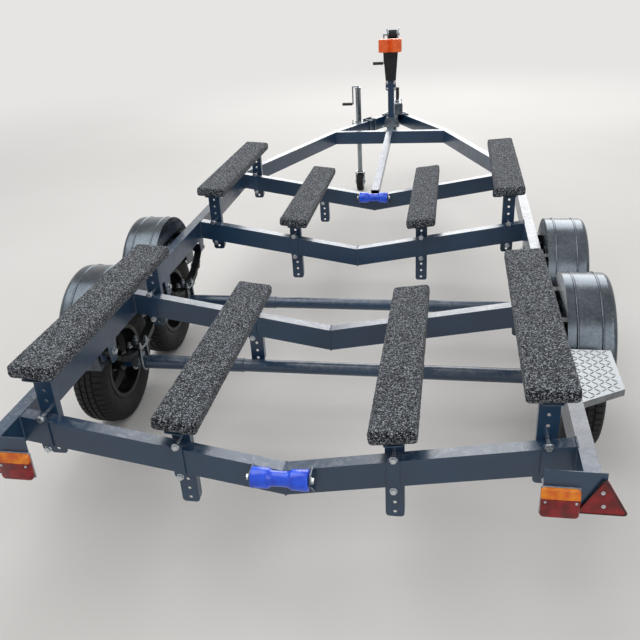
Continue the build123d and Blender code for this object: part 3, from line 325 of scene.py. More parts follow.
def trowelled_floor():
    """Pale power-trowelled floor that keeps the shadow near the object and fades into a pale distance."""
    made, tree, place = start_material("trowelled_floor")
    cloudy = add(tree, "ShaderNodeTexNoise", {"Vector": place, "Scale": 1 / 2.5, "Detail": 3.0})
    colour = add(tree, "ShaderNodeValToRGB", {"Fac": cloudy}, [(0.3, "#D6D3CE"), (0.7, "#DDDAD6")])
    fine = add(tree, "ShaderNodeTexNoise", {"Vector": place, "Scale": 1 / 0.02})
    grit = add(tree, "ShaderNodeBump", {"Height": fine, "Strength": 0.1, "Distance": 0.0004})
    shader = add(tree, "ShaderNodeBsdfPrincipled", {"Base Color": colour, "Roughness": 0.8, "Normal": grit,
                                                    "Specular IOR Level": 0.2})
    away = add(tree, "ShaderNodeVectorMath", {0: place}, operation="LENGTH").outputs["Value"]
    share = add(tree, "ShaderNodeMapRange", {"Value": away, "From Min": 3.5, "From Max": 11.0},
                interpolation_type="SMOOTHERSTEP")
    fade = add(tree, "ShaderNodeMath", {0: share, 1: seen_directly(tree)}, operation="MULTIPLY")
    far = add(tree, "ShaderNodeEmission", {"Color": linear("#E6E5E3"), "Strength": 1.0})
    mixed = add(tree, "ShaderNodeMixShader", {0: fade, 1: shader, 2: far})
    add(tree, "ShaderNodeOutputMaterial", {"Surface": mixed})
    return made


ENAMEL = alkyd_enamel()
BLACK = black_enamel()
GALVANISED = hot_dip_galvanising("hot_dip_galvanising", "#788087", "#9CA3A9")
# The mudguards get a darker copy of the galvanising: painted shade that stands for the dark surroundings their bright
# sheet would reflect.
GUARD_SHEET_PAINTED_DARK = hot_dip_galvanising("galvanised_sheet_painted_dark", "#464D54", "#626970")
ZINC = zinc_plating()
CARPET = needle_punch_carpet()
RUBBER = tyre_rubber()
BLUE = cast_polyurethane("blue_polyurethane", "#083FD0", "#0E5CF2", 0.25)
ORANGE = cast_polyurethane("orange_polyurethane", "#E65210", "#F5702A", 0.42)
ABS = moulded_abs()
AMBER = ribbed_acrylic("amber_acrylic", "#D45C06", "#F28E14")
RED = ribbed_acrylic("red_acrylic", "#6A0206", "#960309")
SHEET = rolled_aluminium()
STRAP = woven_strap()
CLEAR = clear_acrylic()

NODE_FINISHES = {
    ENAMEL: ["main_rails", "front_rails", "drawbar_right", "drawbar_left", "vee_crossmembers", "front_crossmember",
             "spine_tube", "tongue_tube", "lamp_boards", "winch_post", "axles", "spring_hangers",
             "roller_brackets"],
    BLACK: ["leaf_springs", "side_brackets", "winch_bracket", "rim_rear_right", "rim_rear_left",
            "rim_front_right", "rim_front_left"],
    GUARD_SHEET_PAINTED_DARK: ["mudguards"],
    GALVANISED: ["post_foot", "winch_frame", "winch_drum", "winch_crank", "jockey_tube", "jockey_clamp",
                 "jockey_leg", "jockey_fork", "coupling_head", "spring_seats"],
    SHEET: ["steps"],
    ORANGE: ["bow_stop"],
    ABS: ["winch_grip", "jockey_grip", "coupling_lever"],
    RUBBER: ["jockey_wheel"],
    CLEAR: ["lamp_bases"],
    RED: ["reflectors"],
}


def finish_nodes():
    """Gives each kept piece of the frame its material."""
    for finish, names in NODE_FINISHES.items():
        for name in names:
            slots = bpy.data.objects[name].data.materials
            slots.clear()
            slots.append(finish)


def new_object(name, mesh, finish=None):
    """A new object at the origin from a mesh."""
    made = bpy.data.objects.new(name, mesh)
    bpy.context.scene.collection.objects.link(made)
    if finish is not None:
        mesh.materials.clear()
        mesh.materials.append(finish)
    return made


def from_bmesh(name, shape, finish, smooth=True):
    """A new object from an edited mesh, with its faces pointing outwards."""
    bmesh.ops.remove_doubles(shape, verts=shape.verts, dist=1e-6)
    bmesh.ops.recalc_face_normals(shape, faces=shape.faces)
    mesh = bpy.data.meshes.new(name)
    shape.to_mesh(mesh)
    shape.free()
    mesh.polygons.foreach_set("use_smooth", [smooth] * len(mesh.polygons))
    if smooth:
        mesh.set_sharp_from_angle(angle=SHARP_ANGLE)
    return new_object(name, mesh, finish)


def settle(obj, body, slot, *nodes):
    """Ties a finished piece to its body and hides the nodes it stands for; the material slot is not used."""
    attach(obj, body)
    if nodes:
        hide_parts(*nodes)
    return obj


def start_tree(name, sizes):
    """A geometry tree with named sizes, its input and its output."""
    tree = bpy.data.node_groups.new(name, "GeometryNodeTree")
    tree.interface.new_socket("Geometry", in_out="INPUT", socket_type="NodeSocketGeometry")
    for label in sizes:
        tree.interface.new_socket(label, in_out="INPUT", socket_type="NodeSocketFloat")
    tree.interface.new_socket("Finish", in_out="INPUT", socket_type="NodeSocketMaterial")
    tree.interface.new_socket("Geometry", in_out="OUTPUT", socket_type="NodeSocketGeometry")
    return tree, add(tree, "NodeGroupInput")


def end_tree(tree, given, shape, axis):
    """Closes a tree: the shape on each point, one axis turned to the point's, made real, and painted."""
    lean = add(tree, "GeometryNodeInputNamedAttribute", {"Name": "axis"}, data_type="FLOAT_VECTOR")
    turned = add(tree, "FunctionNodeAlignRotationToVector", {"Vector": lean.outputs["Attribute"]}, axis=axis)
    placed = add(tree, "GeometryNodeInstanceOnPoints", {"Points": given.outputs["Geometry"], "Instance": shape,
                                                        "Rotation": turned})
    real = add(tree, "GeometryNodeRealizeInstances", {"Geometry": placed})
    painted = add(tree, "GeometryNodeSetMaterial", {"Geometry": real, "Material": given.outputs["Finish"]})
    add(tree, "NodeGroupOutput", {"Geometry": painted})


def bolt_tree():
    """A washer, a hexagon and a shank on each point, standing along the point's axis."""
    tree, given = start_tree("hexagon_bolts", ["Across", "Height", "Washer", "Shank", "Length"])
    height, length = given.outputs["Height"], given.outputs["Length"]
    radius = add(tree, "ShaderNodeMath", {0: given.outputs["Across"], 1: 1 / sqrt(3)}, operation="MULTIPLY")
    thick = add(tree, "ShaderNodeMath", {0: height, 1: 0.22}, operation="MULTIPLY")
    lift = add(tree, "ShaderNodeMath", {0: height, 1: 0.5, 2: thick}, operation="MULTIPLY_ADD")
    rise = add(tree, "ShaderNodeMath", {0: thick, 1: 0.5}, operation="MULTIPLY")
    drop = add(tree, "ShaderNodeMath", {0: length, 1: -0.5}, operation="MULTIPLY")
    joined = add(tree, "GeometryNodeJoinGeometry")
    for sides, out, depth, place in ((6, radius, height, lift), (24, given.outputs["Washer"], thick, rise),
                                     (12, given.outputs["Shank"], length, drop)):
        part = add(tree, "GeometryNodeMeshCylinder", {"Vertices": sides, "Radius": out, "Depth": depth})
        offset = add(tree, "ShaderNodeCombineXYZ", {"Z": place})
        moved = add(tree, "GeometryNodeTransform", {"Geometry": part.outputs["Mesh"], "Translation": offset})
        tree.links.new(moved.outputs["Geometry"], joined.inputs["Geometry"])
    end_tree(tree, given, joined, "Z")
    return tree


def stud_tree(name, sizes, segments, rings, radius, axis):
    """A rounded stud on each point, as long, wide and high as three of the tree's sizes say."""
    tree, given = start_tree(name, list(dict.fromkeys(sizes)))
    ball = add(tree, "GeometryNodeMeshUVSphere", {"Segments": segments, "Rings": rings, "Radius": radius})
    size = add(tree, "ShaderNodeCombineXYZ", {way: given.outputs[label] for way, label in zip("XYZ", sizes)})
    flat = add(tree, "GeometryNodeTransform", {"Geometry": ball.outputs["Mesh"], "Scale": size})
    end_tree(tree, given, flat, axis)
    return tree


def on_points(name, spots, tree, sizes, finish, smooth=True):
    """A plain mesh of a tree's shape on each spot. Spots are pairs of place and axis."""
    mesh = bpy.data.meshes.new(name)
    mesh.from_pydata([spot for spot, axis in spots], [], [])
    axes = mesh.attributes.new("axis", "FLOAT_VECTOR", "POINT")
    axes.data.foreach_set("vector", [value for spot, axis in spots for value in axis])
    made = new_object(name, mesh)
    modifier = made.modifiers.new("shape", "NODES")
    modifier.node_group = tree
    values = {**sizes, "Finish": finish}
    for item in tree.interface.items_tree:
        if item.item_type == "SOCKET" and item.in_out == "INPUT" and item.name in values:
            modifier[item.identifier] = values[item.name]
    bpy.context.view_layer.update()
    evaluated = made.evaluated_get(bpy.context.evaluated_depsgraph_get())
    made.data = bpy.data.meshes.new_from_object(evaluated)
    made.modifiers.remove(modifier)
    made.data.materials.clear()
    made.data.materials.append(finish)
    if smooth:
        made.data.shade_smooth()
    else:
        made.data.shade_flat()
    return made


def join_rings(shape, rings, closed=True, around=True):
    """Faces between rings of places. Closed joins each ring's last place to its first. Around joins the last ring to
    the first, and otherwise the first and last rings are capped."""
    rings = [[shape.verts.new(place) for place in ring] for ring in rings]
    count = len(rings[0])
    for near, far in zip(rings, rings[1:] + rings[:1] if around else rings[1:]):
        for index in range(count if closed else count - 1):
            other = (index + 1) % count
            shape.faces.new((near[index], near[other], far[other], far[index]))
    if not around:
        shape.faces.new(rings[0])
        shape.faces.new(rings[-1])


def turn_profile(shape, profile, centre, closed=True, turns=48):
    """Adds a piece turned round X to a mesh: the profile gives pairs along and out from the axis."""
    rings = []
    for count in range(turns):
        angle = 2 * pi * count / turns
        rings.append([Vector(centre) + Vector((along, out * cos(angle), out * sin(angle))) for along, out in profile])
    join_rings(shape, rings, closed)


def lathe(name, profile, centre, finish, closed=True, turns=48):
    """A turned piece on its own."""
    shape = bmesh.new()
    turn_profile(shape, profile, centre, closed, turns)
    return from_bmesh(name, shape, finish)


def turned_cap(name, profile, side, centre, finish, body):
    """A turned cap on a wheel: its profile gives pairs out from the wheel's face and from the axis."""
    placed = [(side * along, out) for along, out in profile]
    settle(lathe(name, placed, centre, finish, closed=False), body, "galvanised")


def slab(shape, outline, low, high, edge):
    """Adds a plate between two heights to a mesh, with its outline in plan and its rims eased by an edge."""
    middle = sum((Vector(point) for point in outline), Vector((0, 0))) / len(outline)
    rings = []
    for z, inset in ((low, edge), (low + edge, 0.0), (high - edge, 0.0), (high, edge)):
        ring = []
        for point in outline:
            inward = (middle - Vector(point)).normalized() * inset
            ring.append((point[0] + inward.x, point[1] + inward.y, z))
        rings.append(ring)
    join_rings(shape, rings, around=False)


def rounded_outline(corners, radii, steps=6):
    """An outline with its corners rounded, in the same order; one radius, or one for each corner."""
    points = []
    for index, corner in enumerate(corners):
        radius = radii[index] if isinstance(radii, (list, tuple)) else radii
        here = Vector(corner)
        if not radius:
            points.append(tuple(here))
            continue
        before = (Vector(corners[index - 1]) - here).normalized()
        after = (Vector(corners[(index + 1) % len(corners)]) - here).normalized()
        half = before.angle(after) / 2
        reach = radius / tan(half)
        centre = here + (before + after).normalized() * (radius / sin(half))
        start, end = here + before * reach - centre, here + after * reach - centre
        sweep = start.angle_signed(end)
        for count in range(steps + 1):
            turn = -sweep * count / steps
            points.append((centre.x + start.x * cos(turn) - start.y * sin(turn),
                           centre.y + start.x * sin(turn) + start.y * cos(turn)))
    return points


def cut_plate(shape, outline, holes, thick, place):
    """Adds a plate with round holes to a mesh. Its outline and holes are flat, and place puts it in the frame."""
    flat = bmesh.new()
    loops = [outline]
    loops += [[(x + radius * cos(pi * step / 8), y + radius * sin(pi * step / 8)) for step in range(16)]
              for x, y, radius in holes]
    edges = []
    for loop in loops:
        verts = [flat.verts.new((x, y, 0.0)) for x, y in loop]
        edges += [flat.edges.new((verts[index - 1], verts[index])) for index in range(len(verts))]
    bmesh.ops.triangle_fill(flat, use_beauty=True, use_dissolve=False, edges=edges)
    raised = bmesh.ops.extrude_face_region(flat, geom=flat.faces[:])["geom"]
    far_side = [item for item in raised if isinstance(item, bmesh.types.BMVert)]
    bmesh.ops.translate(flat, vec=(0, 0, thick), verts=far_side)
    bmesh.ops.transform(flat, matrix=place, verts=flat.verts)
    mesh = bpy.data.meshes.new("plate")
    flat.to_mesh(mesh)
    flat.free()
    shape.from_mesh(mesh)
    bpy.data.meshes.remove(mesh)


BOLTS = bolt_tree()
# Ripples of a weld, and the bars of tread plate, which lean 45 degrees one way or the other
RIPPLES = stud_tree("weld_ripples", ["Width", "Width", "Height"], 8, 5, 1.0, "Z")
BARS = stud_tree("tread_bars", ["Length", "Width", "Height"], 10, 6, 0.5, "X")


def bolts(name, spots, body, across, length=0.002, height=None):
    """Hexagon bolts on one body; spots are pairs of place and outward axis."""
    sizes = {"Across": across, "Height": height or across * 0.42, "Washer": across * 0.68, "Shank": across * 0.3,
             "Length": length}
    settle(on_points(name, spots, BOLTS, sizes, ZINC, smooth=False), body, "galvanised")


def vee_drop(x):
    """How far a crossmember's top lies below the frame at X."""
    return VEE_DEPTH * (1 - abs(x) / RAIL_INSIDE)


def rounded_section(width, thick, radius, step):
    """Points round a rectangle with rounded corners, as pairs across and up, evenly spaced."""
    points = []
    corners = [(width / 2 - radius, radius, -90), (width / 2 - radius, thick - radius, 0),
               (radius - width / 2, thick - radius, 90), (radius - width / 2, radius, 180)]
    arc = 4
    for (x, z, start), following in zip(corners, corners[1:] + corners[:1]):
        for count in range(arc + 1):
            angle = radians(start + 90 * count / arc)
            points.append((x + radius * cos(angle), z + radius * sin(angle)))
        last = points[-1]
        angle = radians(start + 90)
        target = (following[0] + radius * cos(angle), following[1] + radius * sin(angle))
        span = hypot(target[0] - last[0], target[1] - last[1])
        cuts = max(int(span / step), 1)
        for count in range(1, cuts):
            share = count / cuts
            points.append((last[0] + (target[0] - last[0]) * share, last[1] + (target[1] - last[1]) * share))
    return points


def carpeted_bunk(shape, x, base, tilt, rear):
    """One board wrapped in carpet: a rounded bar whose surface is lumpy, with its ends tucked in."""
    section = rounded_section(BUNK_WIDTH, BUNK_THICK, BUNK_ROUND, CARPET_GRID)
    middle = Vector((0, 0, BUNK_THICK / 2))
    turn = Matrix.Translation((x, 0, base)) @ Matrix.Rotation(-radians(tilt), 4, "Y")
    # distance from the rear end, and how far the section has shrunk there
    stations = [(0.0, BUNK_ROUND), (0.002, BUNK_ROUND * 0.55), (0.005, BUNK_ROUND * 0.28), (0.009, BUNK_ROUND * 0.1)]
    flat = BUNK_LENGTH - 2 * CARPET_TUCK
    steps = int(flat / CARPET_GRID)
    stations += [(CARPET_TUCK + flat * count / steps, 0.0) for count in range(steps + 1)]
    stations += [(BUNK_LENGTH - y, inset) for y, inset in reversed(stations[:4])]
    rings = []
    for y, inset in stations:
        ring = []
        for px, pz in section:
            scale_x = 1 - inset / (BUNK_WIDTH / 2)
            scale_z = 1 - inset / (BUNK_THICK / 2)
            point = Vector((px * scale_x, y, middle.z + (pz - middle.z) * scale_z))
            outward = Vector((px, 0, pz - middle.z)).normalized()
            seed = Vector((point.x + x * 7, y + rear, point.z)) / CARPET_WAVE
            lump = noise.noise(seed) * CARPET_LUMP + noise.noise(seed * 2.3) * CARPET_LUMP * 0.6
            place = point + outward * (lump - CARPET_LUMP * 0.6)
            ring.append(turn @ Vector((place.x, place.y + rear, place.z)))
        rings.append(ring)
    join_rings(shape, rings, around=False)


def make_bunks():
    """The carpeted bunks of each row, one piece on each side."""
    for label, (x, base, tilt) in BUNK_ROWS.items():
        for hand, side in SIDES:
            shape = bmesh.new()
            for rear in BUNK_REARS:
                carpeted_bunk(shape, x * side, base, tilt * side, rear)
            settle(from_bmesh(f"bunk_carpet_{label}_{hand}", shape, CARPET), "chassis", "carpet", f"bunks_{label}")


def tyre_section():
    """Points round the tyre from bead to bead, as pairs across and radius, with three rain grooves."""
    flank = (TYRE_RADIUS + RIM_RADIUS) / 2
    points = [(-BEAD_HALF, RIM_RADIUS + 0.0005), (-BEAD_HALF, RIM_RADIUS + FLANGE_HEIGHT)]
    side = [(-0.070, 0.192), (-0.077, 0.212), (-TYRE_HALF, flank + 0.004), (-0.0795, 0.252), (-0.0775, 0.262),
            (-0.0745, 0.272), (-0.0690, 0.2815), (-0.0620, 0.2875)]
    points += side
    crown = []
    for groove in (-GROOVE_PLACE, 0.0, GROOVE_PLACE):
        crown += [(groove - 0.0045, 0.0), (groove - 0.0035, -GROOVE_DEPTH), (groove + 0.0035, -GROOVE_DEPTH),
                  (groove + 0.0045, 0.0)]
    for x, depth in crown:
        points.append((x, TYRE_RADIUS - 0.0028 * (x / 0.055) ** 2 + depth))
    points += [(-x, r) for x, r in reversed(side)]
    points += [(BEAD_HALF, RIM_RADIUS + FLANGE_HEIGHT), (BEAD_HALF, RIM_RADIUS + 0.0005)]
    return points


def make_tyre(row, hand, side):
    """A radial tyre: ribbed crown cut into blocks, with a plain flank."""
    node = f"tyre_{row}_{hand}"
    low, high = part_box(node)
    centre = (low + high) / 2
    section = tyre_section()
    shape = bmesh.new()
    shares = (0.0, 0.12, 0.16, 0.5, 0.62, 0.66)
    rings = []
    for pitch in range(TREAD_PITCHES):
        for order, share in enumerate(shares):
            angle = 2 * pi * (pitch + share) / TREAD_PITCHES
            ring = []
            for x, radius in section:
                inner = abs(x) < GROOVE_PLACE
                cut = order in (0, 1) if inner else order in (3, 4)
                crown = radius > TYRE_RADIUS - 0.0045
                shoulder = 0.0285 < abs(x) < 0.080 and radius > TYRE_RADIUS - 0.036
                sunk = TREAD_CUT if cut and (crown or shoulder) and not (abs(x) < 0.0047) else 0.0
                if shoulder and not crown:
                    sunk *= 0.55
                reach = radius - sunk
                ring.append((centre.x + x * side, centre.y + reach * cos(angle), centre.z + reach * sin(angle)))
            rings.append(ring)
    join_rings(shape, rings)
    settle(from_bmesh(f"tread_{row}_{hand}", shape, RUBBER), f"wheel_{row}_{hand}", "tyre", node)


def make_wheels():
    """The tyres, and the bolts that hold each rim to its hub, heads outside and nuts inside."""
    for row, hand, side in WHEELS:
        make_tyre(row, hand, side)
        low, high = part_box(f"rim_{row}_{hand}")
        centre = (low + high) / 2
        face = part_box(f"tyre_{row}_{hand}")
        middle = (face[0].x + face[1].x) / 2
        spots = []
        for count in range(WHEEL_BOLTS):
            angle = 2 * pi * count / WHEEL_BOLTS
            y, z = centre.y + BOLT_CIRCLE * cos(angle), centre.z + BOLT_CIRCLE * sin(angle)
            spots += [((middle + side * RIM_OUTSIDE, y, z), (side, 0, 0)),
                      ((middle + side * RIM_INSIDE, y, z), (-side, 0, 0))]
        bolts(f"wheel_bolts_{row}_{hand}", spots, f"wheel_{row}_{hand}", M12, length=0.004)


# Planes for plates: across and up with thickness forward, and forward and up with thickness to the right
UPRIGHT_ACROSS = Matrix(((1, 0, 0, 0), (0, 0, 1, 0), (0, 1, 0, 0), (0, 0, 0, 1)))
UPRIGHT_ALONG = Matrix(((0, 0, 1, 0), (1, 0, 0, 0), (0, 1, 0, 0), (0, 0, 0, 1)))


def add_post(shape, x, base, tilt, back):
    """One perforated channel with round lower corners, and its saddle plate."""
    tip, half = base - POST_LENGTH, POST_WIDTH / 2
    slope = tan(radians(tilt))
    under = base - SADDLE_THICK / cos(radians(tilt))
    web = rounded_outline([(-half, tip), (half, tip), (half, under + slope * half), (-half, under - slope * half)],
                          [POST_ROUND, POST_ROUND, 0, 0])
    holes = [(0.0, tip + HOLE_PITCH * (count + 0.5), HOLE_RADIUS) for count in range(int(POST_LENGTH / HOLE_PITCH))]
    cut_plate(shape, web, holes, POST_WALL, Matrix.Translation((x, back, 0)) @ UPRIGHT_ACROSS)
    for left in (0.0002 - half, half - POST_WALL - 0.0002):
        top = under + slope * (left + POST_WALL / 2)
        low = tip + POST_ROUND
        flange = rounded_outline([(POST_WALL - 0.0005, low), (POST_DEPTH, low), (POST_DEPTH, top),
                                  (POST_WALL - 0.0005, top)], [0, POST_ROUND, 0, 0])
        cut_plate(shape, flange, [], POST_WALL, Matrix.Translation((x + left, back, 0)) @ UPRIGHT_ALONG)
    rear, front = back + POST_DEPTH - SADDLE_LENGTH, back + POST_DEPTH
    saddle = rounded_outline([(-half, rear), (half, rear), (half, front), (-half, front)], 0.006)
    lean = Matrix.Translation((x, 0, base)) @ Matrix.Rotation(-radians(tilt), 4, "Y")
    cut_plate(shape, saddle, [], SADDLE_THICK - 0.0002, lean @ Matrix.Translation((0, 0, -SADDLE_THICK)))


def make_posts():
    """The bunks' posts, and the round-ended straps that clamp them."""
    posts, straps = bmesh.new(), bmesh.new()
    half = CLAMP_WIDTH / 2
    for station in VEE_STATIONS:
        for x, base, tilt in BUNK_ROWS.values():
            top = FRAME_TOP - vee_drop(x) + CLAMP_MARGIN
            low = top - TUBE_HEIGHT - 2 * CLAMP_MARGIN
            for side in (-1, 1):
                add_post(posts, x * side, base, tilt * side, station + TUBE_WIDTH)
                outline = rounded_outline([(-half, low), (half, low), (half, top), (-half, top)], half - 0.0005)
                place = Matrix.Translation((x * side, station - CLAMP_THICK, 0)) @ UPRIGHT_ACROSS
                cut_plate(straps, outline, [], CLAMP_THICK, place)
    settle(from_bmesh("perforated_posts", posts, ENAMEL), "chassis", "enamel", "bunk_posts")
    settle(from_bmesh("clamp_straps", straps, ENAMEL), "chassis", "enamel", "post_clamps")


def make_post_bolts():
    """Two long bolts at each post, one over and one under the crossmember."""
    heads, nuts = [], []
    for station in VEE_STATIONS:
        for x in (row[0] for row in BUNK_ROWS.values()):
            for side in (-1, 1):
                top = FRAME_TOP - vee_drop(x) + POST_BOLT_RISE
                for z in (top, top - TUBE_HEIGHT - 2 * POST_BOLT_RISE):
                    heads.append(((x * side, station - CLAMP_THICK, z), (0, -1, 0)))
                    nuts.append(((x * side, station + TUBE_WIDTH + POST_WALL, z), (0, 1, 0)))
    bolts("post_bolt_heads", heads, "chassis", M12, length=TUBE_WIDTH + CLAMP_THICK + POST_WALL)
    bolts("post_bolt_nuts", nuts, "chassis", M12, length=0.004)


def both_sides(spots):
    """Places on the right, and their mirror images on the left."""
    return spots + [((-x, y, z), (-dx, dy, dz)) for (x, y, z), (dx, dy, dz) in spots]


def make_running_gear_bolts():
    """Nuts on the spring clamps, and the heads and nuts of the spring eyes' bolts."""
    nuts, eyes = [], []
    plate_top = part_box("spring_seats")[1].z - SPRING_STUD
    across = LEAF_HALF + SEAT_GAP + SPRING_BOLT
    along = AXLE_RADIUS + SEAT_GAP + SPRING_BOLT
    eye_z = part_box("spring_hangers")[0].z + HANGER_DROP
    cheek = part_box("spring_hangers")[1].x - PIN_END
    inner_cheek = 2 * RAIL_CENTRE - cheek
    for axle in AXLES:
        for x in (RAIL_CENTRE - across, RAIL_CENTRE + across):
            nuts += [((x, axle + shift, plate_top), (0, 0, 1)) for shift in (-along, along)]
        for y in (axle - SPRING_REACH, axle + SPRING_REACH):
            eyes += [((cheek, y, eye_z), (1, 0, 0)), ((inner_cheek, y, eye_z), (-1, 0, 0))]
    bolts("spring_clamp_nuts", both_sides(nuts), "chassis", M12, height=0.010)
    bolts("spring_eye_bolts", both_sides(eyes), "chassis", M14, height=0.011)


def make_axle_sleeves():
    """Thicker sleeves over the axles' outer parts, each with a weld round its inner end."""
    sleeves, spots = bmesh.new(), []
    centre_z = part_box("axles")[0].z + AXLE_RADIUS
    bore, root, ripples = AXLE_RADIUS + 0.0002, AXLE_RADIUS + 0.001, 46
    for axle in AXLES:
        for side in (-1, 1):
            start, end = side * SLEEVE_INSIDE, side * SLEEVE_OUTSIDE
            profile = [(start, bore), (start, SLEEVE_RADIUS), (end, SLEEVE_RADIUS), (end, bore)]
            turn_profile(sleeves, profile, (0, axle, centre_z))
            for step in range(ripples):
                angle = 2 * pi * step / ripples
                place = (start, axle + root * cos(angle), centre_z + root * sin(angle))
                spots.append((place, (-side, cos(angle), sin(angle))))
    settle(from_bmesh("axle_sleeves", sleeves, ENAMEL), "chassis", "enamel")
    settle(on_points("sleeve_welds", spots, RIPPLES, {"Width": 0.003, "Height": 0.0018}, ENAMEL), "chassis", "enamel")


def make_hubs():
    """A pressed grease cap on each wheel."""
    profile = [(0.0008, 0.0), (0.0008, 0.020), (-0.001, 0.0255), (-0.005, 0.0278), (-0.026, 0.0278), (-0.026, 0.033),
               (-0.030, 0.033)]
    for row, hand, side in WHEELS:
        low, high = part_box(f"rim_{row}_{hand}")
        centre = (high.x if side > 0 else low.x, (low.y + high.y) / 2, (low.z + high.z) / 2)
        turned_cap(f"grease_cap_{row}_{hand}", profile, side, centre, ZINC, f"wheel_{row}_{hand}")


def make_rollers():
    """Cast rollers with straight ends and a narrower waist, and the nuts on their pins."""
    spots = []
    for name in ("rear", "front"):
        low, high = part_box(f"keel_roller_{name}")
        centre = (low + high) / 2
        half = (high.x - low.x) / 2
        end = [(half, ROLLER_BORE), (half, ROLLER_END - 0.003), (half - 0.001, ROLLER_END - 0.001),
               (half - 0.003, ROLLER_END), (0.040, ROLLER_END - 0.002), (0.037, ROLLER_END - 0.003),
               (0.031, ROLLER_WAIST + 0.002), (0.028, ROLLER_WAIST + 0.0005), (0.022, ROLLER_WAIST)]
        profile = end + [(-along, out) for along, out in reversed(end)]
        made = lathe(f"cast_roller_{name}", profile, centre, BLUE, turns=64)
        settle(made, f"roller_{name}", "blue_roller", f"keel_roller_{name}")
        ear = high.x + 0.007
        spots += [((ear, centre.y, centre.z), (1, 0, 0)), ((-ear, centre.y, centre.z), (-1, 0, 0))]
    bolts("roller_nuts", spots, "chassis", M12)


def make_winch_fittings():
    """Strap wound on the drum, the plate that clamps the bracket to the mast, and the bolts."""
    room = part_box("winch_drum")[1].x - 0.006
    turns, radius = 9, 0.036
    profile = [(-room, 0.010)]
    for count in range(turns * 2 + 1):
        share = count / (turns * 2)
        profile.append((-room + 2 * room * share, radius + (0.0012 if count % 2 else 0.0)))
    profile.append((room, 0.010))
    settle(lathe("winch_strap", profile, DRUM, STRAP), "winch_reel", "black_rubber")

    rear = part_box("winch_post")[0].y
    low, high, half = BRACKET_BASE - 0.078, BRACKET_BASE - 0.003, 0.043
    shape = bmesh.new()
    outline = rounded_outline([(-half, low), (half, low), (half, high), (-half, high)], 0.010)
    slab(shape, outline, 0.0, 0.005, 0.001)
    for vert in shape.verts:
        vert.co = Vector((vert.co.x, rear - 0.0003 - vert.co.z, vert.co.y))
    settle(from_bmesh("mast_plate", shape, ENAMEL), "chassis", "enamel")
    face = rear - 0.0053
    spots = [((x, face, z), (0, -1, 0)) for x in (-0.033, 0.033) for z in (high - 0.015, low + 0.015)]
    bolts("mast_plate_bolts", spots, "chassis", M10, length=0.062)

    foot_top = FRAME_TOP + FOOT_THICK
    leg = MAST_HALF + SEAT_GAP + FOOT_BOLT
    spots = [((x, POST_Y + y, foot_top), (0, 0, 1)) for x in (-leg, leg) for y in (-FOOT_BOLT_PLACE, FOOT_BOLT_PLACE)]
    bolts("post_foot_nuts", spots, "chassis", M10, height=0.008)

    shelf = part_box("winch_frame")[0].z + SHELF_THICK
    spots = [((x, DRUM.y + y, shelf), (0, 0, 1)) for x in (-0.025, 0.025) for y in (-0.045, 0.045)]
    bolts("winch_base_bolts", spots, "chassis", M8)
    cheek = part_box("winch_crank")[1].x
    bolts("winch_shaft_nut", [((cheek - 0.006, DRUM.y, DRUM.z), (1, 0, 0))], "winch_reel", M12)


def make_coupling_bolts():
    """Two pairs of bolts through the coupling's plate into the drawbars."""
    plate_top = FRAME_TOP + COUPLING_THICK
    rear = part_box("coupling_head")[0].y
    spots = [((x, rear + 0.022 + y, plate_top), (0, 0, 1)) for x, y in ((0.088, 0.0), (0.070, 0.036))]
    bolts("coupling_bolts", both_sides(spots), "chassis", M12, length=0.004)


def make_jockey_fittings():
    """The nuts on the jockey wheel's axle, and a pressed disc on each face of it."""
    low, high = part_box("jockey_fork")
    centre = (low + high) / 2
    axle_z = (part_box("jockey_wheel")[0].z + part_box("jockey_wheel")[1].z) / 2
    spots = [((high.x - 0.006, centre.y, axle_z), (1, 0, 0)), ((low.x + 0.006, centre.y, axle_z), (-1, 0, 0))]
    bolts("jockey_axle_nuts", spots, "jockey_caster", M10)
    profile = [(0.0004, 0.010), (0.0012, 0.012), (0.0012, 0.046), (0.003, 0.050), (0.0012, 0.054), (0.0, 0.056)]
    for name, side in (("outer", 1), ("inner", -1)):
        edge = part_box("jockey_wheel")[1].x if side > 0 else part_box("jockey_wheel")[0].x
        turned_cap(f"jockey_disc_{name}", profile, side, (edge, centre.y, axle_z), GALVANISED, "jockey_roll")


def lens_body(side):
    """A shallow rounded box on the lamp's base, as deep at the top as at the bottom."""
    shape = bmesh.new()
    outline = rounded_outline([(LAMP_INSIDE, LAMP_LOW), (LAMP_OUTSIDE, LAMP_LOW), (LAMP_OUTSIDE, LAMP_TOP),
                               (LAMP_INSIDE, LAMP_TOP)], LAMP_ROUND)
    middle = Vector(((LAMP_INSIDE + LAMP_OUTSIDE) / 2, (LAMP_LOW + LAMP_TOP) / 2))
    rings = []
    for depth, inset in ((0.0003, 0.0), (LENS_DEPTH - 0.006, 0.0), (LENS_DEPTH - 0.003, 0.0008),
                         (LENS_DEPTH - 0.001, 0.0025), (LENS_DEPTH, 0.005)):
        ring = []
        for x, z in outline:
            scale_x = 1 - inset / (LAMP_OUTSIDE - middle.x)
            scale_z = 1 - inset / (LAMP_TOP - middle.y)
            ring.append((side * (middle.x + (x - middle.x) * scale_x), LENS_FRONT - depth,
                         middle.y + (z - middle.y) * scale_z))
        rings.append(ring)
    join_rings(shape, rings, around=False)
    return shape


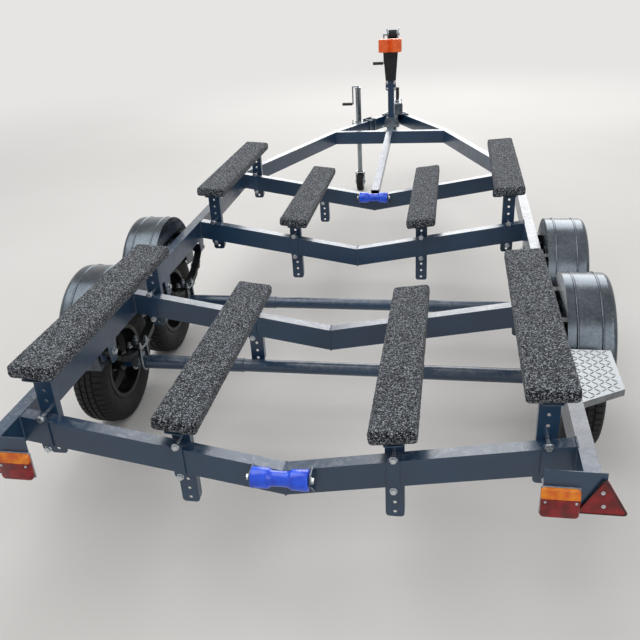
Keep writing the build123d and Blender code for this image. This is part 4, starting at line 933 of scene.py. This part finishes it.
def make_lamps():
    """Lamp lenses in two colours, the amber one sloping back to its top, with a ledge and screws between."""
    for hand, side in SIDES:
        for name, keep_low, finish, slot in (("red", True, RED, "red_lens"), ("amber", False, AMBER, "amber_lens")):
            shape = lens_body(side)
            cut = bmesh.ops.bisect_plane(shape, geom=shape.verts[:] + shape.edges[:] + shape.faces[:],
                                         plane_co=(0, 0, LAMP_SPLIT), plane_no=(0, 0, 1),
                                         clear_outer=keep_low, clear_inner=not keep_low)["geom_cut"]
            bmesh.ops.contextual_create(shape, geom=[item for item in cut if isinstance(item, bmesh.types.BMEdge)])
            if not keep_low:
                for vert in shape.verts:
                    share = (vert.co.z - LAMP_SPLIT) / (LAMP_TOP - LAMP_SPLIT)
                    vert.co.y += (LENS_FRONT - vert.co.y) / LENS_DEPTH * (LENS_LEDGE + LENS_SLOPE * share)
            settle(from_bmesh(f"lens_{name}_{hand}", shape, finish), "chassis", slot, f"lamp_{name}")
        spots = [((side * x, LENS_FRONT - LENS_DEPTH, LAMP_SPLIT - LAMP_SCREW_DROP), (0, -1, 0))
                 for x in (LAMP_INSIDE + LAMP_SCREW_INSET, LAMP_OUTSIDE - LAMP_SCREW_INSET)]
        bolts(f"lamp_screws_{hand}", spots, "chassis", LAMP_SCREW, height=0.002, length=0.001)


def make_reflector_trim():
    """The black border and the screws of each triangular reflector."""
    height = REFLECTOR_SIDE * sqrt(3) / 2
    left, base, right = REFLECTOR_RIGHT - REFLECTOR_SIDE, REFLECTOR_BASE, REFLECTOR_RIGHT
    outer = rounded_outline([(left - 0.004, base), (right + 0.004, base),
                             ((left + right) / 2, base + height + 0.002)], 0.008)
    middle = Vector(((left + right) / 2, base + height / 3))
    for hand, side in SIDES:
        border = bmesh.new()
        loops = []
        for scale, proud in ((1.0, -0.0065), (1.0, 0.0010), (0.985, 0.0015), (0.94, 0.0015), (0.93, -0.001)):
            ring = []
            for x, z in outer:
                px = min(max(middle.x + (x - middle.x) * scale, LAMP_OUTSIDE + 0.0008), REFLECTOR_RIGHT)
                ring.append((side * px, REFLECTOR_REAR - proud, middle.y + (z - middle.y) * scale))
            loops.append(ring)
        join_rings(border, loops)
        settle(from_bmesh(f"reflector_border_{hand}", border, ABS), "chassis", "black_plastic")
        spots = [((side * (middle.x + x), REFLECTOR_REAR, middle.y + z), (0, -1, 0))
                 for x, z in ((0.000, 0.036), (0.006, -0.012))]
        bolts(f"reflector_screws_{hand}", spots, "chassis", REFLECTOR_SCREW, height=0.003, length=0.001)


def make_tread_plate():
    """Raised bars of tread plate on the steps, 23 mm apart, and each turned across its neighbours."""
    for hand, side in SIDES:
        spots = []
        columns = int((STEP_OUTSIDE - STEP_INSIDE - 2 * BAR_EDGE) / BAR_PITCH)
        rows = int((STEP_FRONT - STEP_REAR) / BAR_PITCH)
        for column in range(columns + 1):
            x = STEP_INSIDE + BAR_MARGIN + BAR_PITCH * column
            share = (x - STEP_INSIDE) / (STEP_OUTSIDE - STEP_INSIDE)
            rear = STEP_REAR + STEP_SKEW * share
            for row in range(rows + 1):
                y = STEP_FRONT - BAR_MARGIN - BAR_PITCH * row
                if y > rear + BAR_MARGIN:
                    lean = 1 if (column + row) % 2 else -1
                    spots.append(((side * x, y, STEP_TOP), (1, lean, 0)))
        settle(on_points(f"tread_bars_{hand}", spots, BARS, BAR_SIZES, SHEET), "chassis", "checker_plate")


def seam(spots, start, end, axis, pitch=0.0045):
    """Ripples of a weld from start to end, facing an axis."""
    start, end = Vector(start), Vector(end)
    count = max(int((end - start).length / pitch), 1)
    for step in range(count + 1):
        place = start.lerp(end, step / count)
        spots.append((tuple(place), axis))


def make_welds():
    """Weld beads where the frame's tubes meet."""
    spots = []
    base = FRAME_TOP - TUBE_HEIGHT
    for station in VEE_STATIONS:
        for side in (-1, 1):
            x = side * RAIL_INSIDE
            for y, way in ((station, -1), (station + TUBE_WIDTH, 1)):
                seam(spots, (x, y, base), (x, y, FRAME_TOP), (-side, way, 0))
            seam(spots, (x, station, FRAME_TOP), (x, station + TUBE_WIDTH, FRAME_TOP), (0, 0, 1))
        apex = FRAME_TOP - VEE_DEPTH
        for y, way in ((station, -1), (station + TUBE_WIDTH, 1)):
            seam(spots, (0, y, apex - TUBE_HEIGHT), (0, y, apex), (0, way, 0))
        seam(spots, (0, station, apex), (0, station + TUBE_WIDTH, apex), (0, 0, 1))
    spine_low, spine_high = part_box("spine_tube")
    for side in (-1, 1):
        for y, z, way in ((spine_low.y, spine_low.z, 1), (spine_high.y, FRAME_TOP - SPINE_HEIGHT, -1)):
            seam(spots, (side * spine_high.x, y, z), (side * spine_high.x, y, z + SPINE_HEIGHT), (side, way, 0))
    settle(on_points("weld_beads", spots, RIPPLES, {"Width": 0.0042, "Height": 0.0026}, ENAMEL), "chassis", "enamel")


def make_stage():
    """A wide pale floor, and a world that lights softly and shows the floor's far colour."""
    shape = bmesh.new()
    reach = 60.0
    for x, y in ((-reach, -reach), (reach, -reach), (reach, reach), (-reach, reach)):
        shape.verts.new((x, y, 0.0))
    shape.verts.ensure_lookup_table()
    shape.faces.new(shape.verts[:])
    floor = from_bmesh("floor", shape, trowelled_floor(), smooth=False)
    world = bpy.data.worlds.new("studio")
    bpy.context.scene.world = world
    world.use_nodes = True
    tree = world.node_tree
    tree.nodes.clear()
    plain = add(tree, "ShaderNodeBackground", {"Color": linear("#F2F5FA"), "Strength": 0.45})
    bright = add(tree, "ShaderNodeBackground", {"Color": linear("#E6E5E3"), "Strength": 1.0})
    mixed = add(tree, "ShaderNodeMixShader", {0: seen_directly(tree), 1: plain, 2: bright})
    add(tree, "ShaderNodeOutputWorld", {"Surface": mixed})


def add_lamp(name, place, target, size, power):
    """A square soft lamp turned to a target."""
    lamp = bpy.data.lights.new(name, "AREA")
    lamp.energy = power
    lamp.size = size
    made = bpy.data.objects.new(name, lamp)
    bpy.context.scene.collection.objects.link(made)
    made.location = place
    made.rotation_euler = (Vector(target) - Vector(place)).to_track_quat("-Z", "Y").to_euler()


def make_studio_lights():
    """Three soft lamps, in front, above and on the camera's side."""
    add_lamp("front_panel", (0.5, 10.0, 6.5), (0, 0, 0.5), 9.0, 900)
    add_lamp("top_panel", (-2.0, -1.5, 6.0), (0, -0.5, 0.4), 5.0, 170)
    add_lamp("camera_side", (3.5, -5.5, 4.0), (0, 0, 0.5), 4.0, 90)


def make_camera():
    """The photo's viewpoint, with the same lens."""
    yaw, pitch, roll = (radians(value) for value in (CAMERA_YAW, CAMERA_PITCH, CAMERA_ROLL))
    ahead = Vector((-sin(yaw) * cos(pitch), cos(yaw) * cos(pitch), sin(pitch)))
    level = ahead.cross(Vector((0, 0, 1))).normalized()
    upward = level.cross(ahead)
    right = cos(roll) * level + sin(roll) * upward
    top = -sin(roll) * level + cos(roll) * upward
    lens = bpy.data.cameras.new("camera")
    lens.sensor_width = SENSOR
    lens.lens = SENSOR * FOCAL_PIXELS / IMAGE_SIDE
    made = bpy.data.objects.new("camera", lens)
    bpy.context.scene.collection.objects.link(made)
    turn = Matrix((right, top, -ahead)).transposed()
    made.matrix_world = Matrix.Translation(CAMERA_PLACE) @ turn.to_4x4()
    bpy.context.scene.camera = made


finish_nodes()
make_bunks()
make_wheels()
make_posts()
make_post_bolts()
make_running_gear_bolts()
make_axle_sleeves()
make_hubs()
make_rollers()
make_winch_fittings()
make_coupling_bolts()
make_jockey_fittings()
make_lamps()
make_reflector_trim()
make_tread_plate()
make_welds()
make_stage()
make_studio_lights()
make_camera()
bpy.context.scene.view_settings.view_transform = "Standard"
